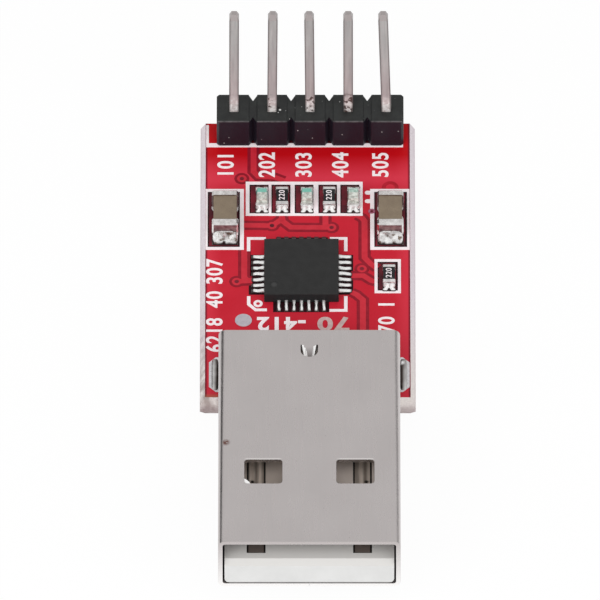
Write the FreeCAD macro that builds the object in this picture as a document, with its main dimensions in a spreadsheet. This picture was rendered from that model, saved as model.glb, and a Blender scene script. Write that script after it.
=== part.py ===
import FreeCAD, Part
import Sketcher
import math
import os
import re

# USB to serial adapter module: a bare circuit board with an A type plug on one end and a pin header
# on the other. Millimetres, +Z up. The plug's mouth faces -Y and the header stands at +Y. The origin
# is the bottom centre of the whole module, level with the tips of the header's tails.

doc = FreeCAD.newDocument("usb_serial_adapter")
sheet = doc.addObject("Spreadsheet::Sheet", "Sizes")

# Every size that can be set by itself, or is worked out from the ones above it.
SIZES = [
    ("board_width", "14.3", "laminate, edge to edge"),
    ("board_length", "24.6", "laminate, plug end to header end"),
    ("board_thickness", "1.6", "laminate"),
    ("score_depth", "0.55", "V score, each face"),
    ("score_inset", "0.34", "V score, how far the face stands back from the edge"),
    ("plating", "0.04", "copper lands and eyelets"),
    ("pin_count", "5", "header positions"),
    ("pin_pitch", "2.54", "header positions"),
    ("pin_width", "0.64", "square pins"),
    ("pin_free_length", "9.5", "pin above its moulding"),
    ("pin_tail_length", "3.0", "pin below its moulding"),
    ("pin_tip_length", "0.45", "bevelled tips"),
    ("pin_tip_width", "0.34", "bevelled tips"),
    ("header_height", "2.42", "moulding"),
    ("header_depth", "2.43", "moulding, front to back"),
    ("header_end", "1.15", "outer pin's centre to the end of the moulding"),
    ("header_end_bevel", "0.16", "upright corners at the ends"),
    ("notch_half_width", "0.27", "V notch between blocks"),
    ("notch_depth", "0.48", "V notch between blocks"),
    ("neck_drop", "0.08", "neck's top below the blocks' tops"),
    ("header_overhang", "0.41", "moulding past the board's rear edge"),
    ("header_shift", "0.16", "header's centre from the board's centre line"),
    ("header_drill", "1.0", "holes for the pins"),
    ("header_pad", "1.6", "eight sided lands of the pins"),
    ("plug_width", "12.0", "shell outside"),
    ("plug_height", "4.5", "shell outside"),
    ("plug_length", "18.5", "shell, mouth to rear edge"),
    ("sheet_thickness", "0.3", "shell's steel"),
    ("fold_radius", "0.5", "shell's long corners, outside"),
    ("plug_overlap", "2.3", "shell over the board"),
    ("plug_shift", "0.1", "plug's centre from the board's centre line"),
    ("seam_gap", "0.03", "joint of the folded sheet, underneath"),
    ("window_width", "2.5", "latch windows"),
    ("window_length", "2.09", "latch windows, along the plug"),
    ("window_inset", "5.07", "mouth to the windows"),
    ("window_centre", "3.03", "window's centre from the plug's centre line"),
    ("window_round", "0.24", "corners of the windows"),
    ("relief_length", "1.2", "floor of the shell cut away at the rear"),
    ("leg_width", "1.8", "leg, along the plug"),
    ("leg_back", "0.9", "leg behind the shell's rear edge"),
    ("leg_drop", "2.9", "leg below the shell's floor"),
    ("leg_root_height", "1.6", "top of the leg's root on the side wall"),
    ("leg_shoulder_height", "0.7", "rear corner of the leg's root"),
    ("leg_tip_length", "0.5", "leg's tapered tip"),
    ("leg_tip_inset", "0.35", "leg's tapered tip"),
    ("lance_inset", "1.3", "lock tab's root, from the shell's rear edge"),
    ("lance_width", "1.14", "hole round the lock tab"),
    ("lance_length", "1.05", "hole round the lock tab"),
    ("tab_root_width", "0.74", "lock tab"),
    ("tab_tip_width", "0.46", "lock tab"),
    ("tab_length", "0.92", "lock tab"),
    ("tab_drop", "0.3", "lock tab's tip pressed in"),
    ("tab_clearance", "0.1", "moulding round the lock tab"),
    ("tongue_thickness", "2.05", "moulding in the mouth"),
    ("tongue_gap", "0.12", "tongue to each side wall"),
    ("tongue_recess", "0.05", "tongue's front behind the mouth"),
    ("tongue_chamfer", "0.36", "tongue's upper front edge"),
    ("tongue_round", "0.45", "tongue's lower corners"),
    ("cavity_depth", "11.9", "mouth to the block behind the tongue"),
    ("block_setback", "0.3", "block's rear face in front of the shell's rear edge"),
    ("contact_width", "1.0", "contact blades"),
    ("contact_thickness", "0.25", "contact blades"),
    ("contact_recess", "0.05", "blades below the tongue's face"),
    ("contact_gap", "0.12", "blade to each side of its groove"),
    ("outer_contact_centre", "3.5", "supply contacts, from the plug's centre line"),
    ("inner_contact_centre", "1.0", "data contacts, from the plug's centre line"),
    ("outer_contact_inset", "1.0", "supply contacts, from the mouth"),
    ("inner_contact_inset", "2.0", "data contacts, from the mouth"),
    ("tail_width", "0.6", "contact tails"),
    ("tail_back", "1.78", "tails behind the shell's rear edge"),
    ("tail_drop", "2.6", "tails below the shell's floor"),
    ("tail_bend", "0.5", "outside radius of the tails' bend"),
    ("contact_drill", "0.95", "holes for the tails"),
    ("contact_pad", "1.6", "eight sided lands of the tails"),
    ("pad_corner", "0.46", "eight sided lands of pins and tails"),
    ("slot_width", "1.0", "slots for the legs"),
    ("slot_length", "2.34", "slots for the legs"),
    ("slot_pad_width", "1.6", "eight sided lands round the slots"),
    ("slot_pad_length", "3.05", "eight sided lands round the slots"),
    ("slot_pad_corner", "0.45", "eight sided lands round the slots"),
    ("solder_waist", "0.41", "hollow of a fillet, as a part of its reach and of its height"),
    ("joint_height", "0.75", "solder mounds under the board"),
    ("joint_margin", "0.06", "land left bare round a solder mound"),
    ("joint_tip_margin", "0.12", "solder round what it holds, at the mound's tip"),
    ("chip_size", "4.95", "chip, each way"),
    ("chip_height", "0.8", "chip"),
    ("chip_edge", "0.05", "chip's upper edge bevel"),
    ("chip_x", "-0.42", "chip's centre from the board's centre line"),
    ("chip_forward", "2.16", "chip's centre in front of midway between the tails and the header"),
    ("lead_count", "7", "leads on each side of the chip"),
    ("lead_pitch", "0.5", "leads of the chip"),
    ("lead_width", "0.25", "leads of the chip"),
    ("lead_depth", "0.4", "leads in from the chip's side"),
    ("lead_height", "0.2", "leads up the chip's side"),
    ("lead_land_width", "0.28", "chip's lands"),
    ("lead_land_reach", "0.85", "chip's lands out from its side"),
    ("dot_radius", "0.26", "first pin's dimple"),
    ("dot_depth", "0.06", "first pin's dimple"),
    ("dot_inset_x", "0.66", "dimple's centre from the chip's side"),
    ("dot_inset_y", "0.9", "dimple's centre from the chip's front"),
    ("cap_length", "3.1", "capacitor, along the board"),
    ("cap_width", "1.74", "capacitor, across its ends"),
    ("cap_height", "1.34", "capacitor, over its ends"),
    ("cap_end", "0.48", "capacitor's end caps"),
    ("cap_wrap", "0.1", "end caps round the ceramic"),
    ("cap_bevel", "0.11", "end caps' outer edges"),
    ("cap_land_reach", "0.66", "lands past the ends"),
    ("cap_solder_height", "0.72", "fillets up the ends"),
    ("cap_x", "5.5", "capacitors' centres from the board's centre line"),
    ("cap_back", "8.64", "capacitors' centres from the board's rear edge"),
    ("small_length", "1.56", "diodes and resistors, along the board"),
    ("small_width", "0.84", "diodes and resistors"),
    ("small_end", "0.25", "their end caps"),
    ("small_wrap", "0.04", "their end caps round the body"),
    ("small_bevel", "0.04", "their end caps' outer edges"),
    ("small_land_reach", "0.42", "their lands past the ends"),
    ("resistor_height", "0.5", "resistor, over its ends"),
    ("diode_base_height", "0.34", "diode's base, over its ends"),
    ("lens_height", "0.36", "diode's lens"),
    ("lens_draft", "12", "diode's lens, sides in degrees"),
    ("small_solder_height", "0.26", "fillets up the ends"),
    ("row_forward", "0.355", "diode row in front of midway between the chip and the header"),
    ("diode_x_1", "-3.05", "first diode from the board's centre line"),
    ("resistor_x_1", "-1.71", "first resistor"),
    ("diode_x_2", "-0.06", "second diode"),
    ("resistor_x_2", "1.43", "second resistor"),
    ("diode_x_3", "3.04", "third diode"),
    ("resistor_x_3", "5.4", "resistor beside the chip"),
    ("resistor_gap_3", "2.78", "its rear end to the capacitor's front end"),
    ("total_length", "=plug_length - plug_overlap + board_length + header_overhang", "mouth to header"),
    ("mouth_y", "=-total_length / 2", "plug's mouth"),
    ("board_front_y", "=mouth_y + plug_length - plug_overlap", "board's plug end"),
    ("board_rear_y", "=board_front_y + board_length", "board's header end"),
    ("header_y", "=board_rear_y + header_overhang - header_depth / 2", "row of pins"),
    ("header_front_y", "=header_y - header_depth / 2", "front of the header's moulding"),
    ("tails_y", "=mouth_y + plug_length + tail_back", "row of contact tails"),
    ("chip_y", "=(tails_y + header_front_y) / 2 - chip_forward", "chip's centre"),
    ("row_y", "=(chip_y + chip_size / 2 + header_front_y) / 2 - row_forward", "diode row"),
    ("cap_y", "=board_rear_y - cap_back", "capacitors' centres"),
    ("side_y", "=cap_y - cap_length / 2 - resistor_gap_3 - small_length / 2", "resistor beside the chip"),
    ("seat_z", "=pin_tail_length", "top of the lands, where parts stand"),
    ("board_z", "=seat_z - plating", "top of the laminate"),
    ("tail_y", "=plug_length + tail_back", "contact tails, from the mouth"),
    ("leg_y", "=plug_length + leg_back - leg_width / 2", "legs' centre, from the mouth"),
    ("leg_x", "=(plug_width - sheet_thickness) / 2", "legs' centre, from the plug's centre line"),
    ("block_rear", "=plug_length - block_setback", "insulator's rear face, from the mouth"),
    ("tongue_top", "=sheet_thickness + tongue_thickness", "tongue's upper face"),
    ("blade_floor", "=tongue_top - contact_recess - contact_thickness", "floor of the grooves"),
]

# Pins stand up to a quarter of a millimetre out of true at their tips, as they do in the photo.
PIN_LEANS = [0.03, 0.06, -0.07, -0.02, -0.235]

QUARTER_TURN = math.tan(math.pi / 8)
HALF_TURN = 1.0

# A regular octagon: its width in a circle of unit diameter, and what its corners cut off a unit square.
OCTAGON_WIDTH = math.cos(math.pi / 8)
OCTAGON_CORNER = 1 - math.sqrt(0.5)

aliases = [alias for alias, value, note in SIZES]
aliases += [f"pin_lean_{n}" for n in range(1, len(PIN_LEANS) + 1)]
rows = SIZES + [(f"pin_lean_{n}", str(lean), "pin's tip, sideways") for n, lean in enumerate(PIN_LEANS, 1)]
for row, (alias, value, note) in enumerate(rows, 1):
    sheet.set(f"A{row}", alias)
    sheet.set(f"B{row}", value)
    sheet.set(f"C{row}", note)
    sheet.setAlias(f"B{row}", alias)
doc.recompute()

nodes = {}


def bound(text):
    """An expression on the size table, with the table's name in front of each size."""
    return re.sub(r"[a-z][a-z_0-9]*", lambda m: "Sizes." + m[0] if m[0] in aliases else m[0], str(text))


def number(text):
    """What an expression on the size table comes to now."""
    return float(sheet.evalExpression(bound(text)))


def drive(thing, path, text):
    thing.setExpression(path, bound(text))


def place(thing, x, y, z):
    for axis, text in zip("xyz", (x, y, z)):
        drive(thing, f"Placement.Base.{axis}", text)


def new_body(name, x, y, z):
    body = doc.addObject("PartDesign::Body", name)
    place(body, x, y, z)
    nodes[name] = body
    return body


def origin_part(body, role):
    return next(part for part in body.Origin.OriginFeatures if part.Role == role)


def new_sketch(body, name, plane, offset="0"):
    """A sketch on one of the body's own planes. XZ_Plane looks along +Y, so its offset counts forwards."""
    sketch = body.newObject("Sketcher::SketchObject", name)
    sketch.AttachmentSupport = [(origin_part(body, plane), "")]
    sketch.MapMode = "FlatFace"
    drive(sketch, "AttachmentOffset.Base.z", offset)
    return sketch


def pin_point(sketch, edge, end, x, y):
    """Holds one point of a sketch at two expressions, from the sketch's origin."""
    for kind, text in (("DistanceX", x), ("DistanceY", y)):
        index = sketch.addConstraint(Sketcher.Constraint(kind, -1, 1, edge, end, number(text)))
        drive(sketch, f"Constraints[{index}]", text)


def outline(sketch, corners):
    """A closed outline. A corner is a pair of expressions. A third value makes the edge that leaves the
    corner an arc, tangent to the edge before it: the tangent of a quarter of the arc's angle."""
    places = [FreeCAD.Vector(number(corner[0]), number(corner[1]), 0) for corner in corners]
    edges = []
    for n, corner in enumerate(corners):
        start = places[n]
        end = places[(n + 1) % len(places)]
        curved = len(corner) == 3
        if curved:
            across = end - start
            sideways = FreeCAD.Vector(across.y, -across.x, 0)
            shape = Part.Arc(start, (start + end) / 2 + sideways * (corner[2] / 2), end)
        else:
            shape = Part.LineSegment(start, end)
        edge = sketch.addGeometry(shape, False)
        first = 1 if sketch.getPoint(edge, 1).distanceToPoint(start) < 1e-6 else 2
        edges.append((edge, first, 3 - first, curved))
    for n, (edge, first, last, curved) in enumerate(edges):
        before, before_first, before_last, before_curved = edges[n - 1]
        kind = "Tangent" if curved and not before_curved else "Coincident"
        sketch.addConstraint(Sketcher.Constraint(kind, before, before_last, edge, first))
    for (edge, first, last, curved), corner in zip(edges, corners):
        pin_point(sketch, edge, first, corner[0], corner[1])


def rectangle(sketch, left, right, low, high):
    outline(sketch, [(left, low), (right, low), (right, high), (left, high)])


def rounded_rectangle(sketch, left, right, low, high, radius):
    outline(
        sketch,
        [
            (f"{left} + {radius}", low),
            (f"{right} - {radius}", low, QUARTER_TURN),
            (right, f"{low} + {radius}"),
            (right, f"{high} - {radius}", QUARTER_TURN),
            (f"{right} - {radius}", high),
            (f"{left} + {radius}", high, QUARTER_TURN),
            (left, f"{high} - {radius}"),
            (left, f"{low} + {radius}", QUARTER_TURN),
        ],
    )


def slot(sketch, x, y, width, length):
    """A round ended slot along the sketch's second axis."""
    left = f"{x} - ({width}) / 2"
    right = f"{x} + ({width}) / 2"
    low = f"{y} - ({length} - ({width})) / 2"
    high = f"{y} + ({length} - ({width})) / 2"
    outline(sketch, [(right, low), (right, high, HALF_TURN), (left, high), (left, low, HALF_TURN)])


def circle(sketch, x, y, diameter):
    centre = FreeCAD.Vector(number(x), number(y), 0)
    edge = sketch.addGeometry(Part.Circle(centre, FreeCAD.Vector(0, 0, 1), number(diameter) / 2), False)
    index = sketch.addConstraint(Sketcher.Constraint("Diameter", edge, number(diameter)))
    drive(sketch, f"Constraints[{index}]", diameter)
    pin_point(sketch, edge, 3, x, y)


def pad(body, name, sketch, length, reverse=False, both=False):
    feature = body.newObject("PartDesign::Pad", name)
    feature.Profile = sketch
    feature.Reversed = reverse
    feature.SideType = "Symmetric" if both else "One side"
    drive(feature, "Length", length)
    return feature


def pocket(body, name, sketch, depth=None, reverse=False, both=False):
    feature = body.newObject("PartDesign::Pocket", name)
    feature.Profile = sketch
    feature.Reversed = reverse
    feature.SideType = "Symmetric" if both else "One side"
    if depth is None:
        feature.Type = "ThroughAll"
    else:
        drive(feature, "Length", depth)
    return feature


def in_a_row(body, name, feature, count, spacing, role="X_Axis"):
    """Repeats a feature along one of the body's axes."""
    row = body.newObject("PartDesign::LinearPattern", name)
    row.Originals = [feature]
    row.Direction = (origin_part(body, role), [""])
    row.Mode = "Spacing"
    drive(row, "Occurrences", count)
    drive(row, "Offset", spacing)
    body.Tip = row
    return row


def mirrored(body, name, features, role="YZ_Plane"):
    copy = body.newObject("PartDesign::Mirrored", name)
    copy.Originals = features
    copy.MirrorPlane = (origin_part(body, role), [""])
    body.Tip = copy
    return copy


def box(name, x, y, z, width, depth, height):
    """A block from its low corner."""
    block = doc.addObject("Part::Box", name)
    place(block, x, y, z)
    drive(block, "Length", width)
    drive(block, "Width", depth)
    drive(block, "Height", height)
    return block


def group(name, members):
    """Several solids that share one node."""
    compound = doc.addObject("Part::Compound", name)
    compound.Links = members
    nodes[name] = compound
    return compound


def circuit_board():
    body = new_body("circuit_board", "0", "board_front_y", "board_z")
    half = "board_width / 2"
    web = "board_thickness - score_depth"
    section = new_sketch(body, "board_section", "XZ_Plane")
    outline(
        section,
        [
            (f"score_inset - {half}", "0"),
            (f"{half} - score_inset", "0"),
            (half, "-score_depth"),
            (half, f"-({web})"),
            (f"{half} - score_inset", "-board_thickness"),
            (f"score_inset - {half}", "-board_thickness"),
            (f"-{half}", f"-({web})"),
            (f"-{half}", "-score_depth"),
        ],
    )
    pad(body, "laminate", section, "board_length", reverse=True)
    scores = new_sketch(body, "front_scores", "YZ_Plane")
    outline(scores, [("0", "0"), ("0", "-score_depth"), ("score_inset", "0")])
    outline(scores, [("0", "-board_thickness"), ("score_inset", "-board_thickness"), ("0", f"-({web})")])
    pocket(body, "front_score_cuts", scores, "2 * board_width", both=True)

    hole = new_sketch(body, "header_hole", "XY_Plane")
    circle(hole, "header_shift - (pin_count - 1) / 2 * pin_pitch", "header_y - board_front_y", "header_drill")
    first_hole = pocket(body, "header_hole_cut", hole)
    in_a_row(body, "header_holes", first_hole, "pin_count", "pin_pitch")

    holes = new_sketch(body, "contact_holes", "XY_Plane")
    for centre in ("outer_contact_centre", "inner_contact_centre"):
        for side in ("-", "+"):
            circle(holes, f"plug_shift {side} {centre}", "tails_y - board_front_y", "contact_drill")
    pocket(body, "contact_hole_cuts", holes)

    slots = new_sketch(body, "leg_slots", "XY_Plane")
    for side in ("-", "+"):
        x = f"plug_shift {side} leg_x"
        slot(slots, x, "mouth_y + leg_y - board_front_y", "slot_width", "slot_length")
    pocket(body, "leg_slot_cuts", slots)


def octagon(sketch, width, length, corner):
    across = f"{width} / 2"
    along = f"{length} / 2"
    outline(
        sketch,
        [
            (f"{corner} - {across}", f"-{along}"),
            (f"{across} - {corner}", f"-{along}"),
            (across, f"{corner} - {along}"),
            (across, f"{along} - {corner}"),
            (f"{across} - {corner}", along),
            (f"{corner} - {across}", along),
            (f"-{across}", f"{along} - {corner}"),
            (f"-{across}", f"{corner} - {along}"),
        ],
    )


def lands(body, name, width, length, corner):
    """An eight sided land on each face of the board, for a body that stands at the upper face."""
    for face, level in (("upper", "0"), ("lower", "-board_thickness - plating")):
        land = new_sketch(body, f"{name}_{face}_land", "XY_Plane", level)
        octagon(land, width, length, corner)
        pad(body, f"{name}_{face}_land_pad", land, "plating")


def eyelet(name, x, y, drill, land):
    """A plated hole: a barrel through the board, with a land on each face."""
    body = doc.addObject("PartDesign::Body", name)
    place(body, x, y, "board_z")
    barrel = new_sketch(body, f"{name}_barrel", "XY_Plane", "plating")
    circle(barrel, "0", "0", drill)
    pad(body, f"{name}_barrel_pad", barrel, "board_thickness + 2 * plating", reverse=True)
    lands(body, name, land, land, "pad_corner")
    bore = new_sketch(body, f"{name}_bore", "XY_Plane", "2 * plating")
    circle(bore, "0", "0", f"{drill} - 2 * plating")
    pocket(body, f"{name}_bore_cut", bore)
    return body


def pin_places():
    """The header's pins across the board, left to right."""
    count = int(number("pin_count"))
    return [f"header_shift + ({n} - (pin_count - 1) / 2) * pin_pitch" for n in range(count)]


def header_plating():
    members = []
    for n, x in enumerate(pin_places(), 1):
        members.append(eyelet(f"header_eyelet_{n}", x, "header_y", "header_drill", "header_pad"))
    group("header_plating", members)


def contact_offsets():
    """The four contacts across the plug, left to right, from its centre line."""
    centres = ["outer_contact_centre", "inner_contact_centre"]
    return [f"-{centre}" for centre in centres] + centres[::-1]


def contact_plating():
    members = []
    for n, offset in enumerate(contact_offsets(), 1):
        x = f"plug_shift + {offset}"
        members.append(eyelet(f"contact_eyelet_{n}", x, "tails_y", "contact_drill", "contact_pad"))
    group("contact_plating", members)


def leg_plating():
    members = []
    for n, side in enumerate(("-", "+"), 1):
        body = doc.addObject("PartDesign::Body", f"leg_eyelet_{n}")
        place(body, f"plug_shift {side} leg_x", "mouth_y + leg_y", "board_z")
        barrel = new_sketch(body, f"leg_barrel_{n}", "XY_Plane", "plating")
        slot(barrel, "0", "0", "slot_width", "slot_length")
        pad(body, f"leg_barrel_pad_{n}", barrel, "board_thickness + 2 * plating", reverse=True)
        lands(body, f"leg_{n}", "slot_pad_width", "slot_pad_length", "slot_pad_corner")
        bore = new_sketch(body, f"leg_bore_{n}", "XY_Plane", "2 * plating")
        slot(bore, "0", "0", "slot_width - 2 * plating", "slot_length - 2 * plating")
        pocket(body, f"leg_bore_cut_{n}", bore)
        members.append(body)
    group("leg_plating", members)


def plug_shell():
    """One sheet folded into a tube, joined underneath, with windows, a lanced lock tab and two legs."""
    body = new_body("plug_shell", "plug_shift", "mouth_y", "seat_z")
    half = "plug_width / 2"
    outside = new_sketch(body, "shell_outside", "XZ_Plane")
    rounded_rectangle(outside, f"-{half}", half, "0", "plug_height", "fold_radius")
    pad(body, "shell_tube", outside, "plug_length", reverse=True)
    inside = new_sketch(body, "shell_inside", "XZ_Plane")
    rounded_rectangle(
        inside,
        f"sheet_thickness - {half}",
        f"{half} - sheet_thickness",
        "sheet_thickness",
        "plug_height - sheet_thickness",
        "(fold_radius - sheet_thickness)",
    )
    pocket(body, "shell_hollow", inside)
    seam = new_sketch(body, "shell_seam", "XZ_Plane")
    rectangle(seam, "-seam_gap / 2", "seam_gap / 2", "-sheet_thickness", "2 * sheet_thickness")
    pocket(body, "shell_seam_cut", seam)

    windows = new_sketch(body, "shell_windows", "XY_Plane")
    for side in ("-", "+"):
        rounded_rectangle(
            windows,
            f"{side}window_centre - window_width / 2",
            f"{side}window_centre + window_width / 2",
            "window_inset",
            "window_inset + window_length",
            "window_round",
        )
    pocket(body, "shell_window_cuts", windows, reverse=True)

    relief = new_sketch(body, "shell_relief", "YZ_Plane")
    rectangle(relief, "plug_length - relief_length", "2 * plug_length", "-fold_radius", "fold_radius")
    pocket(body, "shell_relief_cut", relief, "2 * plug_width", both=True)

    lance = new_sketch(body, "lance_hole", "XY_Plane")
    root = "plug_length - lance_inset"
    straight = f"{root} - lance_length + lance_width / 2"
    outline(
        lance,
        [
            ("-lance_width / 2", root),
            ("-lance_width / 2", straight, HALF_TURN),
            ("lance_width / 2", straight),
            ("lance_width / 2", root),
        ],
    )
    pocket(body, "lance_cut", lance, reverse=True)
    tab_root = new_sketch(body, "tab_root", "XZ_Plane", f"-({root})")
    underside = "plug_height - sheet_thickness"
    rectangle(tab_root, "-tab_root_width / 2", "tab_root_width / 2", underside, "plug_height")
    tab_tip = new_sketch(body, "tab_tip", "XZ_Plane", f"tab_length - ({root})")
    top = "plug_height - tab_drop"
    rectangle(tab_tip, "-tab_tip_width / 2", "tab_tip_width / 2", f"{underside} - tab_drop", top)
    tab = body.newObject("PartDesign::AdditiveLoft", "lock_tab")
    tab.Profile = tab_root
    tab.Sections = [tab_tip]
    tab.Ruled = True

    leg = new_sketch(body, "leg_outline", "YZ_Plane", f"{half} - sheet_thickness")
    front = "leg_y - leg_width / 2"
    rear = "leg_y + leg_width / 2"
    outline(
        leg,
        [
            (front, "leg_root_height"),
            (front, "leg_tip_length - leg_drop"),
            (f"{front} + leg_tip_inset", "-leg_drop"),
            (f"{rear} - leg_tip_inset", "-leg_drop"),
            (rear, "leg_tip_length - leg_drop"),
            (rear, "leg_shoulder_height"),
            ("plug_length", "leg_root_height"),
        ],
    )
    right_leg = pad(body, "right_leg", leg, "sheet_thickness")
    mirrored(body, "left_leg", [right_leg])


def plug_insulator():
    """White moulding: the tongue in the mouth, with a groove for each contact, and the block behind it."""
    body = new_body("plug_insulator", "plug_shift", "mouth_y", "seat_z")
    half = "plug_width / 2 - sheet_thickness - tongue_gap"
    tongue = new_sketch(body, "tongue_section", "XZ_Plane", "-tongue_recess")
    outline(
        tongue,
        [
            (f"tongue_round - ({half})", "sheet_thickness"),
            (f"{half} - tongue_round", "sheet_thickness", QUARTER_TURN),
            (half, "sheet_thickness + tongue_round"),
            (half, "tongue_top"),
            (f"-({half})", "tongue_top"),
            (f"-({half})", "sheet_thickness + tongue_round", QUARTER_TURN),
        ],
    )
    pad(body, "tongue", tongue, "block_rear - tongue_recess", reverse=True)
    block = new_sketch(body, "block_section", "XZ_Plane", "-cavity_depth")
    rounded_rectangle(
        block,
        "sheet_thickness - plug_width / 2",
        "plug_width / 2 - sheet_thickness",
        "sheet_thickness",
        "plug_height - sheet_thickness",
        "(fold_radius - sheet_thickness)",
    )
    pad(body, "block", block, "block_rear - cavity_depth", reverse=True)
    chamfer = new_sketch(body, "tongue_edge", "YZ_Plane")
    outline(
        chamfer,
        [
            ("tongue_recess", "tongue_top - tongue_chamfer"),
            ("tongue_recess + tongue_chamfer", "tongue_top"),
            ("tongue_recess", "tongue_top"),
        ],
    )
    pocket(body, "tongue_edge_cut", chamfer, "2 * plug_width", both=True)
    grooves = new_sketch(body, "contact_grooves", "XY_Plane", "tongue_top")
    for offset, inset in zip(contact_offsets(), contact_insets()):
        left = f"{offset} - contact_width / 2 - contact_gap"
        right = f"{offset} + contact_width / 2 + contact_gap"
        rectangle(grooves, left, right, f"{inset} - contact_gap", "plug_length")
    pocket(body, "contact_groove_cuts", grooves, "contact_recess + contact_thickness")
    recess = new_sketch(body, "lock_recess", "XY_Plane", "plug_height - sheet_thickness")
    rectangle(
        recess,
        "-lance_width / 2 - tab_clearance",
        "lance_width / 2 + tab_clearance",
        "plug_length - lance_inset - lance_length - tab_clearance",
        "plug_length - lance_inset + tab_clearance",
    )
    pocket(body, "lock_recess_cut", recess, "tab_drop + tab_clearance")


def contact_insets():
    return ["outer_contact_inset", "inner_contact_inset", "inner_contact_inset", "outer_contact_inset"]


def plug_contact(name, offset, inset):
    """A blade that lies in its groove, and a narrower tail that bends down through the board."""
    body = new_body(name, f"plug_shift + {offset}", "mouth_y", "seat_z")
    top = "blade_floor + contact_thickness"
    blade = new_sketch(body, f"{name}_blade_outline", "YZ_Plane")
    rectangle(blade, inset, "block_rear", "blade_floor", top)
    pad(body, f"{name}_blade", blade, "contact_width", both=True)
    front = "tail_y - contact_thickness / 2"
    rear = "tail_y + contact_thickness / 2"
    inner_bend = "tail_bend - contact_thickness"
    tail = new_sketch(body, f"{name}_tail_outline", "YZ_Plane")
    outline(
        tail,
        [
            ("block_rear", "blade_floor"),
            (f"{front} - ({inner_bend})", "blade_floor", -QUARTER_TURN),
            (front, f"blade_floor - ({inner_bend})"),
            (front, "-tail_drop"),
            (rear, "-tail_drop"),
            (rear, f"{top} - tail_bend", QUARTER_TURN),
            (f"{rear} - tail_bend", top),
            ("block_rear", top),
        ],
    )
    pad(body, f"{name}_tail", tail, "tail_width", both=True)


def header_strip():
    """Five blocks joined by necks, with a V notch on each side of every neck."""
    body = new_body("header_strip", "header_shift", "header_y", "seat_z")
    count = int(number("pin_count"))
    end = "((pin_count - 1) / 2 * pin_pitch + header_end)"
    side = "header_depth / 2"
    front = [(f"header_end_bevel - {end}", f"-{side}")]
    back = [(f"{end} - header_end_bevel", side)]
    for n in range(1, count):
        middle = f"({n} - pin_count / 2) * pin_pitch"
        front += [
            (f"{middle} - notch_half_width", f"-{side}"),
            (middle, f"notch_depth - {side}"),
            (f"{middle} + notch_half_width", f"-{side}"),
        ]
        back += [
            (f"notch_half_width - {middle}", side),
            (f"-({middle})", f"{side} - notch_depth"),
            (f"-notch_half_width - {middle}", side),
        ]
    right = [
        (f"{end} - header_end_bevel", f"-{side}"),
        (end, f"header_end_bevel - {side}"),
        (end, f"{side} - header_end_bevel"),
    ]
    left = [
        (f"header_end_bevel - {end}", side),
        (f"-{end}", f"{side} - header_end_bevel"),
        (f"-{end}", f"header_end_bevel - {side}"),
    ]
    plan = new_sketch(body, "strip_plan", "XY_Plane")
    outline(plan, front + right + back + left)
    pad(body, "strip_blocks", plan, "header_height")
    neck = new_sketch(body, "strip_neck", "XY_Plane", "header_height")
    middle = "(1 - pin_count / 2) * pin_pitch"
    rectangle(neck, f"{middle} - notch_half_width", f"{middle} + notch_half_width", f"-{side}", side)
    neck_cut = pocket(body, "strip_neck_cut", neck, "neck_drop")
    in_a_row(body, "strip_necks", neck_cut, "pin_count - 1", "pin_pitch")
    hole = new_sketch(body, "strip_hole", "XY_Plane", "header_height")
    first = "-(pin_count - 1) / 2 * pin_pitch"
    rectangle(
        hole, f"{first} - pin_width / 2", f"{first} + pin_width / 2", "-pin_width / 2", "pin_width / 2"
    )
    hole_cut = pocket(body, "strip_hole_cut", hole)
    in_a_row(body, "strip_holes", hole_cut, "pin_count", "pin_pitch")


def header_pin(n):
    """A square pin lofted through five sections, from the tip of its tail to its leaning upper tip."""
    name = f"header_pin_{n}"
    body = new_body(name, f"header_shift + ({n} - (pin_count + 1) / 2) * pin_pitch", "header_y", "seat_z")
    lean = f"pin_lean_{(n - 1) % len(PIN_LEANS) + 1}"
    sections = [
        ("pin_tip_width", "-pin_tail_length", "0"),
        ("pin_width", "pin_tip_length - pin_tail_length", "0"),
        ("pin_width", "header_height", "0"),
        ("pin_width", "header_height + pin_free_length - pin_tip_length", lean),
        ("pin_tip_width", "header_height + pin_free_length", lean),
    ]
    sketches = []
    for k, (width, level, shift) in enumerate(sections, 1):
        section = new_sketch(body, f"{name}_section_{k}", "XY_Plane", level)
        half = f"{width} / 2"
        rectangle(section, f"{shift} - {half}", f"{shift} + {half}", f"-{half}", half)
        sketches.append(section)
    loft = body.newObject("PartDesign::AdditiveLoft", f"{name}_loft")
    loft.Profile = sketches[0]
    loft.Sections = sketches[1:]
    loft.Ruled = True


def mound(body, name, land_width, land_length, corner, held_width, held_depth):
    """Solder that tapers from the lower land to a narrow rim round what it holds."""
    bottom = "-board_thickness - plating"
    wide = new_sketch(body, f"{name}_wide", "XY_Plane", bottom)
    octagon(wide, f"({land_width} - 2 * joint_margin)", f"({land_length} - 2 * joint_margin)", corner)
    narrow = new_sketch(body, f"{name}_narrow", "XY_Plane", f"{bottom} - joint_height")
    tip = [f"({held} + 2 * joint_tip_margin)" for held in (held_width, held_depth)]
    octagon(narrow, tip[0], tip[1], "joint_tip_margin")
    taper = body.newObject("PartDesign::AdditiveLoft", f"{name}_taper")
    taper.Profile = wide
    taper.Sections = [narrow]
    taper.Ruled = True


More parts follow.
